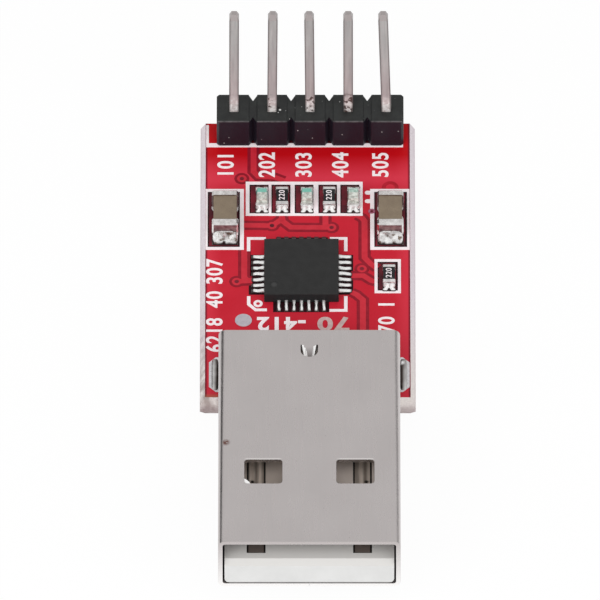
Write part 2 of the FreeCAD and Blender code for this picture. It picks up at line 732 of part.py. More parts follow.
def joint(name, x, y, drill, land, held_width, held_depth):
    """Solder that fills a plated hole and stands below it, with a square hole for what it holds."""
    body = doc.addObject("PartDesign::Body", name)
    place(body, x, y, "board_z")
    fill = new_sketch(body, f"{name}_fill", "XY_Plane", "plating")
    width = f"{OCTAGON_WIDTH:.4f} * ({drill} - 2 * plating)"
    octagon(fill, width, width, f"{OCTAGON_CORNER:.4f} * {width}")
    pad(body, f"{name}_fill_pad", fill, "board_thickness + 2 * plating", reverse=True)
    mound(body, name, land, land, "pad_corner", held_width, held_depth)
    hole = new_sketch(body, f"{name}_hole", "XY_Plane", "2 * plating")
    rectangle(hole, f"-{held_width} / 2", f"{held_width} / 2", f"-{held_depth} / 2", f"{held_depth} / 2")
    pocket(body, f"{name}_hole_cut", hole)
    return body


def header_solder():
    members = []
    for n, x in enumerate(pin_places(), 1):
        name = f"header_joint_{n}"
        members.append(joint(name, x, "header_y", "header_drill", "header_pad", "pin_width", "pin_width"))
    group("header_solder", members)


def contact_solder():
    members = []
    for n, offset in enumerate(contact_offsets(), 1):
        x = f"plug_shift + {offset}"
        y = "tails_y"
        name = f"contact_joint_{n}"
        members.append(joint(name, x, y, "contact_drill", "contact_pad", "tail_width", "contact_thickness"))
    group("contact_solder", members)


def leg_solder():
    """Solder that fills each slot round its leg and stands below the board as a tapered mound."""
    members = []
    for n, side in enumerate(("-", "+"), 1):
        body = doc.addObject("PartDesign::Body", f"leg_joint_{n}")
        place(body, f"plug_shift {side} leg_x", "mouth_y + leg_y", "board_z")
        fill = new_sketch(body, f"leg_joint_fill_{n}", "XY_Plane", "plating")
        slot(fill, "0", "0", "slot_width - 2 * plating", "slot_length - 2 * plating")
        pad(body, f"leg_joint_fill_pad_{n}", fill, "board_thickness + 2 * plating", reverse=True)
        mound(
            body,
            f"leg_joint_{n}",
            "slot_pad_width",
            "slot_pad_length",
            "slot_pad_corner",
            "sheet_thickness",
            "leg_width",
        )
        hole = new_sketch(body, f"leg_joint_hole_{n}", "YZ_Plane")
        front = "-leg_width / 2"
        rear = "leg_width / 2"
        low = "plating - leg_drop"
        outline(
            hole,
            [
                (front, "leg_root_height"),
                (front, f"{low} + leg_tip_length"),
                (f"{front} + leg_tip_inset", low),
                (f"{rear} - leg_tip_inset", low),
                (rear, f"{low} + leg_tip_length"),
                (rear, "leg_root_height"),
            ],
        )
        pocket(body, f"leg_joint_cut_{n}", hole, "sheet_thickness", both=True)
        members.append(body)
    group("leg_solder", members)


def round_the_chip(body, name, feature):
    """Repeats a feature along one side of the chip and then on all four sides."""
    transform = body.newObject("PartDesign::MultiTransform", name)
    transform.Originals = [feature]
    along = doc.addObject("PartDesign::LinearPattern", f"{name}_along")
    body.addObject(along)
    along.Direction = (origin_part(body, "X_Axis"), [""])
    along.Mode = "Spacing"
    drive(along, "Occurrences", "lead_count")
    drive(along, "Offset", "lead_pitch")
    around = doc.addObject("PartDesign::PolarPattern", f"{name}_around")
    body.addObject(around)
    around.Axis = (origin_part(body, "Z_Axis"), [""])
    around.Angle = 360
    around.Occurrences = 4
    transform.Transformations = [along, around]
    body.Tip = transform
    return transform


def lead_plan(sketch, width, inwards, outwards):
    """The first lead of the chip's front side, seen from above."""
    first = "-(lead_count - 1) / 2 * lead_pitch"
    low = f"-chip_size / 2 - {outwards}"
    high = f"{inwards} - chip_size / 2"
    rectangle(sketch, f"{first} - {width} / 2", f"{first} + {width} / 2", low, high)


def chip_place():
    return ("chip_x", "chip_y", "seat_z")


def serial_chip():
    body = new_body("serial_chip", *chip_place())
    half = "chip_size / 2"
    package = new_sketch(body, "chip_package", "XY_Plane")
    rectangle(package, f"-{half}", half, f"-{half}", half)
    block = pad(body, "chip_package_pad", package, "chip_height")
    doc.recompute()
    bevel = body.newObject("PartDesign::Chamfer", "chip_bevel")
    bevel.Base = (block, upper_rim(block.Shape, number("chip_height")))
    drive(bevel, "Size", "chip_edge")
    lead = new_sketch(body, "chip_lead_seat", "XY_Plane")
    lead_plan(lead, "lead_width", "lead_depth", "lead_width")
    seat = pocket(body, "chip_lead_seat_cut", lead, "lead_height", reverse=True)
    round_the_chip(body, "chip_lead_seats", seat)
    dimple = new_sketch(body, "chip_dimple", "XY_Plane", "chip_height")
    circle(dimple, f"dot_inset_x - {half}", f"dot_inset_y - {half}", "2 * dot_radius")
    pocket(body, "chip_dimple_cut", dimple, "dot_depth")


def upper_rim(shape, level):
    """The names of a shape's straight edges at one level."""
    names = []
    for n, edge in enumerate(shape.Edges, 1):
        flat = abs(edge.BoundBox.ZMin - level) < 1e-6 and abs(edge.BoundBox.ZMax - level) < 1e-6
        if flat and isinstance(edge.Curve, Part.Line):
            names.append(f"Edge{n}")
    return names


def chip_leads():
    body = new_body("chip_leads", *chip_place())
    plan = new_sketch(body, "chip_lead_plan", "XY_Plane")
    lead_plan(plan, "lead_width", "lead_depth", "0")
    lead = pad(body, "chip_lead", plan, "lead_height")
    round_the_chip(body, "chip_lead_set", lead)


def chip_solder():
    """A wedge of solder on each land, from the lead's face out to the land's end."""
    body = new_body("chip_solder", *chip_place())
    first = "-(lead_count - 1) / 2 * lead_pitch"
    profile = new_sketch(body, "chip_wedge_profile", "YZ_Plane", first)
    face = "-chip_size / 2"
    outline(profile, [(face, "0"), (face, "lead_height"), (f"{face} - lead_land_reach", "0")])
    wedge = pad(body, "chip_wedge", profile, "lead_width", both=True)
    round_the_chip(body, "chip_wedges", wedge)


def chip_lands():
    body = doc.addObject("PartDesign::Body", "chip_lands")
    x, y, z = chip_place()
    place(body, x, y, f"{z} - plating")
    plan = new_sketch(body, "chip_land_plan", "XY_Plane")
    lead_plan(plan, "lead_land_width", "lead_depth", "lead_land_reach")
    land = pad(body, "chip_land", plan, "plating")
    round_the_chip(body, "chip_land_set", land)
    return body


def land_pair(name, x, y, length, width, end, reach):
    """Two lands under a part's end caps."""
    left = f"{x} - {width} / 2"
    depth = f"{end} + {reach}"
    return [
        box(f"{name}_front_land", left, f"{y} - {length} / 2 - {reach}", "board_z", width, depth, "plating"),
        box(f"{name}_rear_land", left, f"{y} + {length} / 2 - {end}", "board_z", width, depth, "plating"),
    ]


def fillet_pair(name, x, y, length, width, reach, height):
    """Solder that climbs each end cap from its land."""
    body = doc.addObject("PartDesign::Body", f"{name}_fillets")
    place(body, x, y, "seat_z")
    profile = new_sketch(body, f"{name}_fillet_profile", "YZ_Plane")
    face = f"-{length} / 2"
    outline(
        profile,
        [
            (face, "0"),
            (face, height),
            (f"{face} - {reach} * solder_waist", f"{height} * solder_waist"),
            (f"{face} - {reach}", "0"),
        ],
    )
    front = pad(body, f"{name}_front_fillet", profile, f"{width} - 2 * joint_margin", both=True)
    mirrored(body, f"{name}_rear_fillet", [front], "XZ_Plane")
    return body


def end_caps(name, x, y, length, width, height, end, bevel, core):
    """Two metal caps over the ends of a core: a bevelled block less its middle and less the core."""
    block = box(f"{name}_block", f"{x} - {width} / 2", f"{y} - {length} / 2", "seat_z", width, length, height)
    doc.recompute()
    softened = doc.addObject("Part::Chamfer", f"{name}_softened")
    softened.Base = block
    softened.Edges = [(n, number(bevel), number(bevel)) for n in range(1, 13)]
    middle = box(
        f"{name}_middle",
        f"{x} - {width}",
        f"{y} - {length} / 2 + {end}",
        f"seat_z - {height}",
        f"2 * {width}",
        f"{length} - 2 * {end}",
        f"3 * {height}",
    )
    hollow = doc.addObject("Part::Fuse", f"{name}_hollow")
    hollow.Base = middle
    hollow.Tool = core
    caps = doc.addObject("Part::Cut", name)
    caps.Base = softened
    caps.Tool = hollow
    nodes[name] = caps


def core_block(name, x, y, length, width, height, wrap):
    """The body inside a pair of end caps, as much smaller all round as the caps are thick."""
    core = box(
        name,
        f"{x} - {width} / 2 + {wrap}",
        f"{y} - {length} / 2 + {wrap}",
        f"seat_z + {wrap}",
        f"{width} - 2 * {wrap}",
        f"{length} - 2 * {wrap}",
        f"{height} - 2 * {wrap}",
    )
    nodes[name] = core
    return core


def capacitor(side, x):
    y = "cap_y"
    core = core_block(f"{side}_capacitor", x, y, "cap_length", "cap_width", "cap_height", "cap_wrap")
    end_caps(
        f"{side}_capacitor_ends",
        x,
        y,
        "cap_length",
        "cap_width",
        "cap_height",
        "cap_end",
        "cap_bevel",
        core,
    )
    lands = land_pair(f"{side}_capacitor", x, y, "cap_length", "cap_width", "cap_end", "cap_land_reach")
    solder = fillet_pair(
        f"{side}_capacitor", x, y, "cap_length", "cap_width", "cap_land_reach", "cap_solder_height"
    )
    return lands, solder


def small_part(name, x, y, height):
    """The core, end caps, lands and solder that diodes and resistors share."""
    core = core_block(name, x, y, "small_length", "small_width", height, "small_wrap")
    end_caps(
        f"{name}_ends", x, y, "small_length", "small_width", height, "small_end", "small_bevel", core
    )
    lands = land_pair(name, x, y, "small_length", "small_width", "small_end", "small_land_reach")
    solder = fillet_pair(
        name, x, y, "small_length", "small_width", "small_land_reach", "small_solder_height"
    )
    return lands, solder


def resistor(n, y):
    """A ceramic slab with a black overcoat between its end caps."""
    name = f"resistor_{n}"
    x = f"resistor_x_{n}"
    lands, solder = small_part(name, x, y, "resistor_height")
    coat = box(
        f"{name}_coat",
        f"{x} - small_width / 2 + small_wrap",
        f"{y} - small_length / 2 + small_end",
        "seat_z + resistor_height - small_wrap",
        "small_width - 2 * small_wrap",
        "small_length - 2 * small_end",
        "small_wrap",
    )
    nodes[coat.Name] = coat
    return lands, solder


def diode(n):
    """A light emitting diode: a base with end caps, and a clear lens with drafted sides on top."""
    name = f"diode_{n}"
    x = f"diode_x_{n}"
    lands, solder = small_part(name, x, "row_y", "diode_base_height")
    lens = new_body(f"{name}_lens", x, "row_y", "seat_z + diode_base_height - small_wrap")
    plan = new_sketch(lens, f"{name}_lens_plan", "XY_Plane")
    across = "(small_width / 2 - small_wrap)"
    along = "(small_length / 2 - small_end)"
    rectangle(plan, f"-{across}", across, f"-{along}", along)
    block = pad(lens, f"{name}_lens_block", plan, "lens_height")
    drive(block, "TaperAngle", "-lens_draft")
    return lands, solder


def surface_parts():
    """Everything soldered on the board's face. The lands share one node, and so does the solder."""
    made = [
        capacitor("left", "-cap_x"),
        capacitor("right", "cap_x"),
        diode(1),
        diode(2),
        diode(3),
        resistor(1, "row_y"),
        resistor(2, "row_y"),
        resistor(3, "side_y"),
    ]
    lands = [chip_lands()]
    for pair, solder in made:
        lands += pair
    group("surface_lands", lands)
    group("surface_solder", [solder for pair, solder in made])


circuit_board()
header_plating()
contact_plating()
leg_plating()
plug_shell()
plug_insulator()
for contact, (contact_offset, contact_inset) in enumerate(zip(contact_offsets(), contact_insets()), 1):
    plug_contact(f"plug_contact_{contact}", contact_offset, contact_inset)
header_strip()
for pin in range(1, int(number("pin_count")) + 1):
    header_pin(pin)
header_solder()
contact_solder()
leg_solder()
serial_chip()
chip_leads()
chip_solder()
surface_parts()
doc.recompute()

for thing in doc.Objects:
    if "Invalid" in thing.State or "Error" in thing.State:
        raise SystemExit(f"{thing.Name} failed: {thing.State}")
os.makedirs("parts", exist_ok=True)
for name, thing in nodes.items():
    thing.Label = name
    if thing.Shape.isNull() or not thing.Shape.isValid() or not thing.Shape.Solids:
        raise SystemExit(f"{name} has no valid solid")
    thing.Shape.exportStep(f"parts/{name}.step")
print(len(nodes), "nodes")
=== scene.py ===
import math

import bmesh
import bpy
from mathutils import Matrix, Vector, noise


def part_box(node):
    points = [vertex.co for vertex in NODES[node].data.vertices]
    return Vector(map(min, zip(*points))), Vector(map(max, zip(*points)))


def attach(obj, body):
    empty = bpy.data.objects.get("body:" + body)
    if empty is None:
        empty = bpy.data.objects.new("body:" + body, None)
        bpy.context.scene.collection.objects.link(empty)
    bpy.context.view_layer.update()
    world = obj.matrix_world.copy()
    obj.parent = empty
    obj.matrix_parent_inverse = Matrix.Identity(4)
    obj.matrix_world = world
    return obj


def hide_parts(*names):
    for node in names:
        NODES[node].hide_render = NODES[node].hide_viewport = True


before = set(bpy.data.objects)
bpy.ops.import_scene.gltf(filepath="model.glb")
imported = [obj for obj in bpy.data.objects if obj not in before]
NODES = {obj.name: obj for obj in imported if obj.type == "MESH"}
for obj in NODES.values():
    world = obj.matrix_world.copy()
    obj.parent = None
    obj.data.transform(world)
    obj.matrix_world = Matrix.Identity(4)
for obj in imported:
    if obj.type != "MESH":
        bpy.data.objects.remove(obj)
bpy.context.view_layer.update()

# Lengths are in metres, apart from those that MM multiplies, places on the board, heights over it and what
# fade is given, which are in millimetres. A place on the board is given as (x, back): from the board's
# centre line, and from its rear edge, under the header.
MM = 0.001
BOARD_LOW, BOARD_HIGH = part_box("circuit_board")
SHELL_LOW, SHELL_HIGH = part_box("plug_shell")
STRIP_LOW, STRIP_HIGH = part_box("header_strip")
FACE = BOARD_HIGH.z
CENTRE_X = (BOARD_LOW.x + BOARD_HIGH.x) / 2
# From the rear of the shell's legs forward to the rear edge of its roof.
SHELL_BACK = 0.9 * MM
INSULATOR_LOW, INSULATOR_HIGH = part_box("plug_insulator")
PLUG_X = (INSULATOR_LOW.x + INSULATOR_HIGH.x) / 2
# The floor of the plug's shell, outside: one thickness of sheet under the moulding.
PLUG_FLOOR = INSULATOR_LOW.z - 0.3 * MM
# The top of the lands, where the chip's leads and the solder start.
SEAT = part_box("chip_leads")[0].z

# Heights above the board's face, of what is printed and etched on it. What is etched climbs by one STEP
# from each strip or disc to the next, so that no two of them share a level.
FIELD = (0.001, 0.005)
DARK_FIELD = (0.001, 0.0065)
GAP = (0.003, 0.008)
TRACK = (0.006, 0.014)
INK = (0.010, 0.030)
STEP = 0.0002
RING_SIDES = 36

# The header: its first pin's centre from the end of the moulding, and from pin to pin.
END_BLOCK = 1.15
PIN_PITCH = 2.54
# The noise level from which stains show at the foot of each pin.
STAIN_LEVELS = (0.64, 0.60, 0.58, 0.50, 0.66)
# The windows in the shell's roof: from the mouth to their front and rear edges, and from the centre line to
# their sides.
WINDOW_NEAR = 5.07
WINDOW_FAR = 7.16
WINDOW_REACH = (1.78, 4.32)
# From the rear edge of the shell's roof forward to the root of its lock tab.
TAB_BACK = 1.30
RUST_SPOT = (SHELL_LOW.x + 0.50 * MM, SHELL_LOW.y + 8.65 * MM)
SMALL_PARTS = ["diode_1", "diode_2", "diode_3", "resistor_1", "resistor_2", "resistor_3"]
BIG_PARTS = ["left_capacitor", "right_capacitor"]
LEAD_PITCH = 0.5
LEADS = 7
RIGHT = Vector((1, 0, 0))
REARWARD = Vector((0, 1, 0))


def srgb(red, green, blue):
    """A colour in levels from 0 to 255, as the shaders take it."""
    levels = (level / 255 for level in (red, green, blue))
    return (*(v / 12.92 if v < 0.04 else ((v + 0.055) / 1.055) ** 2.4 for v in levels), 1.0)


class Nodes:
    """The nodes of a material or of the world."""

    def __init__(self, tree):
        self.tree = tree

    def node(self, kind, inputs=None, **settings):
        made = self.tree.nodes.new(kind)
        for name, value in settings.items():
            setattr(made, name, value)
        for name, value in (inputs or {}).items():
            self.feed(made.inputs[name], value)
        return made

    def feed(self, socket, value):
        if isinstance(value, bpy.types.NodeSocket):
            self.tree.links.new(value, socket)
        else:
            socket.default_value = value

    def math(self, operation, first, second=0.0):
        return self.node("ShaderNodeMath", {0: first, 1: second}, operation=operation).outputs["Value"]

    def times(self, first, *others):
        for other in others:
            first = self.math("MULTIPLY", first, other)
        return first

    def distance(self, first, second):
        return self.math("ABSOLUTE", self.math("SUBTRACT", first, second))

    def rays(self, *kinds):
        """One for rays of these kinds, and zero for others."""
        path = self.node("ShaderNodeLightPath")
        found = path.outputs[kinds[0]]
        for kind in kinds[1:]:
            found = self.math("MAXIMUM", found, path.outputs[kind])
        return found

    def blend(self, share, first, second):
        """Two shaders, mixed."""
        inputs = {"Fac": share, 1: first.outputs[0], 2: second.outputs[0]}
        return self.node("ShaderNodeMixShader", inputs)


class Paint(Nodes):
    """A material: one principled shader and the nodes that feed it. Scales are per millimetre."""

    def __init__(self, name, **sockets):
        self.material = bpy.data.materials.new(name)
        self.material.use_nodes = True
        super().__init__(self.material.node_tree)
        self.shader = self.tree.nodes["Principled BSDF"]
        self.coordinates = self.node("ShaderNodeTexCoord").outputs["Object"]
        self.normal = self.node("ShaderNodeNewGeometry").outputs["Normal"]
        parts = self.node("ShaderNodeSeparateXYZ", {"Vector": self.coordinates}).outputs
        self.x, self.y, self.z = parts
        for socket, value in sockets.items():
            self.shader.inputs[socket.replace("_", " ")].default_value = value

    def set(self, name, value):
        self.feed(self.shader.inputs[name], value)

    def stretched(self, stretch, shift):
        inputs = {"Vector": self.coordinates, "Scale": stretch, "Location": shift}
        return self.node("ShaderNodeMapping", inputs).outputs["Vector"]

    def noise(self, scale, detail, stretch=(1, 1, 1), shift=(0, 0, 0)):
        inputs = {"Vector": self.stretched(stretch, shift), "Scale": scale / MM, "Detail": detail}
        return self.node("ShaderNodeTexNoise", inputs).outputs["Fac"]

    def cells(self, scale):
        inputs = {"Vector": self.coordinates, "Scale": scale / MM}
        return self.node("ShaderNodeTexVoronoi", inputs).outputs["Distance"]

    def ramp(self, value, low, high, start=0.0, end=1.0):
        """A number that runs from start to end while value runs from low to high."""
        inputs = {"Value": value, "From Min": low, "From Max": high, "To Min": start, "To Max": end}
        return self.node("ShaderNodeMapRange", inputs, clamp=True).outputs["Result"]

    def fade(self, value, place, low, high, start=0.0, end=1.0):
        """The same, while value runs from low to high millimetres past a place."""
        return self.ramp(value, place + low * MM, place + high * MM, start, end)

    def mix(self, factor, first, second):
        """Two colours mixed, each in levels from 0 to 255 or from another node."""
        made = self.node("ShaderNodeMix", {"Factor": factor}, data_type="RGBA")
        sockets = [socket for socket in made.inputs if socket.type == "RGBA"]
        for socket, colour in zip(sockets, (first, second)):
            self.feed(socket, srgb(*colour) if isinstance(colour, tuple) else colour)
        return next(socket for socket in made.outputs if socket.type == "RGBA")

    def part(self, vector, axis):
        return self.node("ShaderNodeSeparateXYZ", {"Vector": vector}).outputs[axis]

    def bump(self, height, distance):
        inputs = {"Height": height, "Distance": distance * MM, "Strength": 1.0}
        self.set("Normal", self.node("ShaderNodeBump", inputs).outputs["Normal"])


def spot(paint, x, y, radius, softness):
    """One inside a round column about a place in the frame, falling to zero over its edge."""
    across = paint.math("SUBTRACT", paint.x, x)
    along = paint.math("SUBTRACT", paint.y, y)
    square = paint.math("ADD", paint.times(across, across), paint.times(along, along))
    return paint.ramp(paint.math("SQRT", square), radius - softness, radius + softness, 1.0, 0.0)


def board_paint():
    """Red solder mask on both faces, and bare glass laminate on the scored edges and in the holes."""
    paint = Paint("red_mask_and_laminate", Specular_IOR_Level=0.15)
    cloudy = paint.ramp(paint.noise(0.35, 3.0), 0.3, 0.7)
    fine = paint.ramp(paint.noise(9.0, 2.0), 0.3, 0.7)
    red = paint.mix(cloudy, (200, 32, 50), (207, 40, 58))
    red = paint.mix(paint.times(fine, 0.25), red, (192, 32, 48))
    along = paint.y
    rear = BOARD_HIGH.y
    # Painted shade: the mask turns darker and deeper red over the rear 4.8 mm, towards the header.
    painted_header_shade = paint.fade(along, rear, -4.8, -2.8)
    # Painted sheen: the mask turns pinker over the rear 6.2 mm, in front of the header.
    painted_row_sheen = paint.fade(along, rear, -6.2, -5.0, 0.0, 0.85)
    red = paint.mix(painted_row_sheen, red, (222, 58, 78))
    red = paint.mix(painted_header_shade, red, (195, 12, 22))
    across = paint.distance(paint.x, CENTRE_X)
    half = BOARD_HIGH.x - CENTRE_X
    # Painted sheen: the mask turns pinker within 1.4 mm of the sides, away from the header.
    painted_side_sheen = paint.fade(across, half, -1.4, -0.7, 0.0, 0.5)
    red = paint.mix(paint.times(painted_side_sheen, paint.math("SUBTRACT", 1.0, painted_header_shade)), red, (222, 60, 78))
    rim = paint.fade(across, half, -0.50, -0.42, 0.0, 0.85)
    red = paint.mix(rim, red, (108, 18, 38))
    upper = paint.fade(paint.z, FACE, -0.2, -0.1)
    stain = paint.fade(along, BOARD_LOW.y, 0.30, 0.70, 0.75, 0.0)
    stain = paint.times(stain, upper)
    left = paint.fade(paint.x, SHELL_LOW.x, 0, 0.2, 1.0, 0.0)
    red = paint.mix(paint.times(stain, left), red, (152, 118, 88))
    # Painted shadow of the header: the face under it is near black, and shows so in the notches between its
    # blocks.
    strip_centre = (STRIP_LOW.x + STRIP_HIGH.x) / 2
    beside = paint.distance(paint.x, strip_centre)
    strip_half = (STRIP_HIGH.x - STRIP_LOW.x) / 2
    under = paint.fade(beside, strip_half, -0.3, 0, 0.9, 0.0)
    under = paint.times(under, paint.fade(along, STRIP_LOW.y, -0.02, 0.12))
    red = paint.mix(paint.times(under, upper), red, (34, 10, 16))
    fibres = paint.ramp(paint.noise(6.0, 4.0, stretch=(1, 1, 4)), 0.3, 0.72)
    # Painted shade: the scored edges turn darker towards their lower part.
    painted_lower_edge_shade = paint.fade(paint.z, FACE, -0.85, -0.35, 0.5, 0.0)
    edge = paint.mix(fibres, (222, 211, 218), (242, 233, 239))
    near_plug = paint.fade(along, BOARD_LOW.y, 1.0, 9.0, 1.0, 0.1)
    warm = paint.fade(along, BOARD_LOW.y, 0.2, 0.8, 1.0, 0.0)
    warm = paint.math("MAXIMUM", warm, near_plug)
    front = paint.mix(fibres, (222, 213, 210), (244, 237, 233))
    patches = paint.ramp(paint.noise(1.6, 4.0, stretch=(1, 1, 0.5)), 0.35, 0.6)
    front = paint.mix(paint.times(left, patches), front, (176, 162, 158))
    edge = paint.mix(warm, edge, front)
    edge = paint.mix(painted_lower_edge_shade, edge, (150, 128, 132))
    flat = paint.ramp(paint.math("ABSOLUTE", paint.part(paint.normal, "Z")), 0.9, 0.97)
    paint.set("Base Color", paint.mix(flat, edge, red))
    paint.set("Roughness", paint.ramp(flat, 0.0, 1.0, 0.75, 0.4))
    level = paint.noise(1.3, 3.0)
    rough = paint.times(paint.noise(16.0, 3.0), paint.ramp(flat, 0.0, 1.0, 1.0, 0.1))
    paint.bump(paint.math("ADD", level, rough), 0.012)
    return paint.material


def plain_paint(name, dark, light, scale, roughness, bump=0.0, **sockets):
    """A surface of one colour that drifts a little, with a fine bump."""
    paint = Paint(name, **sockets)
    patches = paint.ramp(paint.noise(scale, 3.0), 0.32, 0.68)
    paint.set("Base Color", paint.mix(patches, dark, light))
    grain = paint.noise(scale * 5, 3.0)
    paint.set("Roughness", paint.ramp(grain, 0.3, 0.7, roughness - 0.06, roughness + 0.06))
    if bump:
        paint.bump(grain, bump)
    return paint.material


def shell_paint():
    """
    Rolled and plated steel: a faint grain, a few handling marks and one rust spot by a window. Its cut ends
    at the mouth are bright, with a painted highlight that turns them near white towards the bottom. The far
    edges of the windows carry a painted highlight, and the lock tab painted shade where it dips.
    """
    paint = Paint("plug_steel", Metallic=1.0)
    grain = paint.noise(5.0, 3.0, stretch=(1, 0.06, 1))
    cloudy = paint.ramp(paint.noise(0.25, 3.0), 0.3, 0.7)
    steel = paint.mix(cloudy, (195, 189, 188), (200, 194, 193))
    steel = paint.mix(paint.ramp(grain, 0.35, 0.75, 0.0, 0.12), steel, (187, 182, 181))
    dots = paint.ramp(paint.cells(0.9), 0.03, 0.055, 0.35, 0.0)
    steel = paint.mix(dots, steel, (150, 145, 143))
    height = paint.z
    along = paint.y
    # The cut ends at the mouth: bright, with a painted highlight that turns them near white towards the bottom.
    cut = paint.ramp(paint.part(paint.normal, "Y"), -0.95, -0.75, 1.0, 0.0)
    cut = paint.times(cut, paint.fade(along, SHELL_LOW.y, 0.5, 0.6, 1.0, 0.0))
    rise = paint.ramp(height, PLUG_FLOOR, SHELL_HIGH.z)
    steel = paint.mix(cut, steel, paint.mix(rise, (255, 253, 252), (195, 188, 187)))
    # Painted highlight along the far edge of each window.
    across = paint.distance(paint.x, PLUG_X)
    far = SHELL_LOW.y + WINDOW_FAR * MM
    rim = paint.fade(along, far, -0.01, 0)
    rim = paint.times(rim, paint.fade(along, far, 0.06, 0.14, 1.0, 0.0))
    inner, outer = WINDOW_REACH
    rim = paint.times(rim, paint.ramp(across, inner * MM, (inner + 0.2) * MM))
    rim = paint.times(rim, paint.ramp(across, (outer - 0.2) * MM, outer * MM, 1.0, 0.0))
    steel = paint.mix(paint.times(rim, 0.6), steel, (250, 246, 244))
    # Painted shade on the lock tab, darker the lower it dips.
    near = spot(paint, PLUG_X, SHELL_HIGH.y - SHELL_BACK - TAB_BACK * MM - 0.6 * MM, 0.75 * MM, 0.03 * MM)
    roof = paint.fade(height, SHELL_HIGH.z, -0.6, -0.5)
    painted_dip_shade = paint.fade(height, SHELL_HIGH.z, -0.26, -0.05, 0.75, 0.0)
    painted_dip_shade = paint.times(painted_dip_shade, roof)
    steel = paint.mix(paint.times(near, painted_dip_shade), steel, (96, 88, 86))
    rust = spot(paint, *RUST_SPOT, 0.22 * MM, 0.10 * MM)
    rust = paint.times(rust, paint.ramp(paint.noise(7.0, 3.0), 0.30, 0.45))
    rust = paint.times(rust, roof)
    paint.set("Base Color", paint.mix(rust, steel, (92, 52, 42)))
    paint.set("Metallic", paint.ramp(rust, 0.0, 1.0, 1.0, 0.1))
    paint.set("Roughness", paint.ramp(grain, 0.3, 0.7, 0.26, 0.31))
    paint.bump(paint.math("ADD", paint.noise(0.5, 2.0), paint.times(grain, 0.02)), 0.006)
    return paint.material


def metal_paint(name, dark, light, roughness, scale=3.0, metallic=1.0):
    """Plated or tinned metal of one colour that drifts a little."""
    paint = Paint(name, Metallic=metallic)
    patches = paint.ramp(paint.noise(scale, 4.0), 0.3, 0.7)
    paint.set("Base Color", paint.mix(patches, dark, light))
    grain = paint.noise(scale * 3, 2.0)
    paint.set("Roughness", paint.ramp(grain, 0.3, 0.7, roughness * 0.75, roughness * 1.25))
    paint.bump(paint.noise(scale * 2, 3.0), 0.004)
    return paint.material


def solder_paint(name, stain, bump, metallic, dull, foot=0.0):
    """
    Bright tin with dull flux in its hollows. stain is the noise level from which flux shows, and foot is
    the height over the lands below which it is darkened with painted shade.
    """
    paint = Paint(name, Metallic=metallic)
    patches = paint.ramp(paint.noise(3.0, 3.0), 0.35, 0.65)
    tin = paint.mix(patches, dull, (255, 255, 254))
    flux = paint.ramp(paint.noise(3.0, 2.0, shift=(0.01, 0, 0)), stain, stain + 0.10)
    tin = paint.mix(flux, tin, (128, 112, 100))
    if foot:
        # Painted shade at the foot of the solder, over the lands.
        shade = foot * MM
        low = paint.ramp(paint.z, SEAT + 0.3 * shade, SEAT + shade, 1.0, 0.0)
        under_board = paint.ramp(paint.z, BOARD_LOW.z, FACE)
        tin = paint.mix(paint.times(low, under_board), tin, (48, 26, 30))
    paint.set("Base Color", tin)
    paint.set("Roughness", paint.ramp(paint.noise(6.0, 2.0), 0.3, 0.7, 0.18, 0.30))
    paint.bump(paint.noise(4.0, 2.0), bump)
    return paint.material


def black_plastic(name, dark, light, front, roughness, specks=0.0, rim=None, dimple=None, nick=None):
    """Filled black moulding compound with a slight sheen and pale specks where it is handled, painted shade
    on the faces that don't look up, and a painted highlight along a rim.
    """
    paint = Paint(name, Specular_IOR_Level=0.22)
    patches = paint.ramp(paint.noise(1.6, 4.0), 0.3, 0.7)
    body = paint.mix(patches, dark, light)
    # Painted shade: faces that don't look up take the front colour.
    body = paint.mix(paint.ramp(paint.part(paint.normal, "Z"), 0.1, 0.7, 1.0, 0.0), body, front)
    if dimple:
        pale = spot(paint, dimple.x + 0.66 * MM, dimple.y + 0.9 * MM, 0.20 * MM, 0.10 * MM)
        body = paint.mix(pale, body, (66, 66, 66))
    if rim:
        # A painted highlight along the top front edge, broken up by noise.
        high = paint.fade(paint.z, rim.z, -0.10, -0.04)
        near = paint.fade(paint.y, rim.y, 0.05, 0.10, 1.0, 0.0)
        edge_highlight_and_dark_streak = paint.ramp(paint.noise(3.5, 4.0), 0.32, 0.62, 0.3, 1.0)
        edge_highlight_and_dark_streak = paint.times(high, near, edge_highlight_and_dark_streak)
        body = paint.mix(edge_highlight_and_dark_streak, body, (94, 91, 92))
    if specks:
        dots = paint.ramp(paint.cells(1.9), 0.06, 0.10, 1.0, 0.0)
        dots = paint.times(dots, paint.ramp(paint.noise(0.9, 2.0), 0.45, 0.52, 0.0, specks))
        body = paint.mix(dots, body, (200, 200, 198))
    if nick:
        body = paint.mix(spot(paint, nick.x, nick.y, 0.08 * MM, 0.03 * MM), body, (8, 8, 8))
        chipped = spot(paint, nick.x + 0.10 * MM, nick.y - 0.20 * MM, 0.07 * MM, 0.03 * MM)
        body = paint.mix(chipped, body, (225, 225, 222))
    paint.set("Base Color", body)
    grain = paint.noise(14.0, 3.0)
    paint.set("Roughness", paint.ramp(grain, 0.3, 0.7, roughness - 0.08, roughness + 0.08))
    paint.bump(grain, 0.006)
    return paint.material


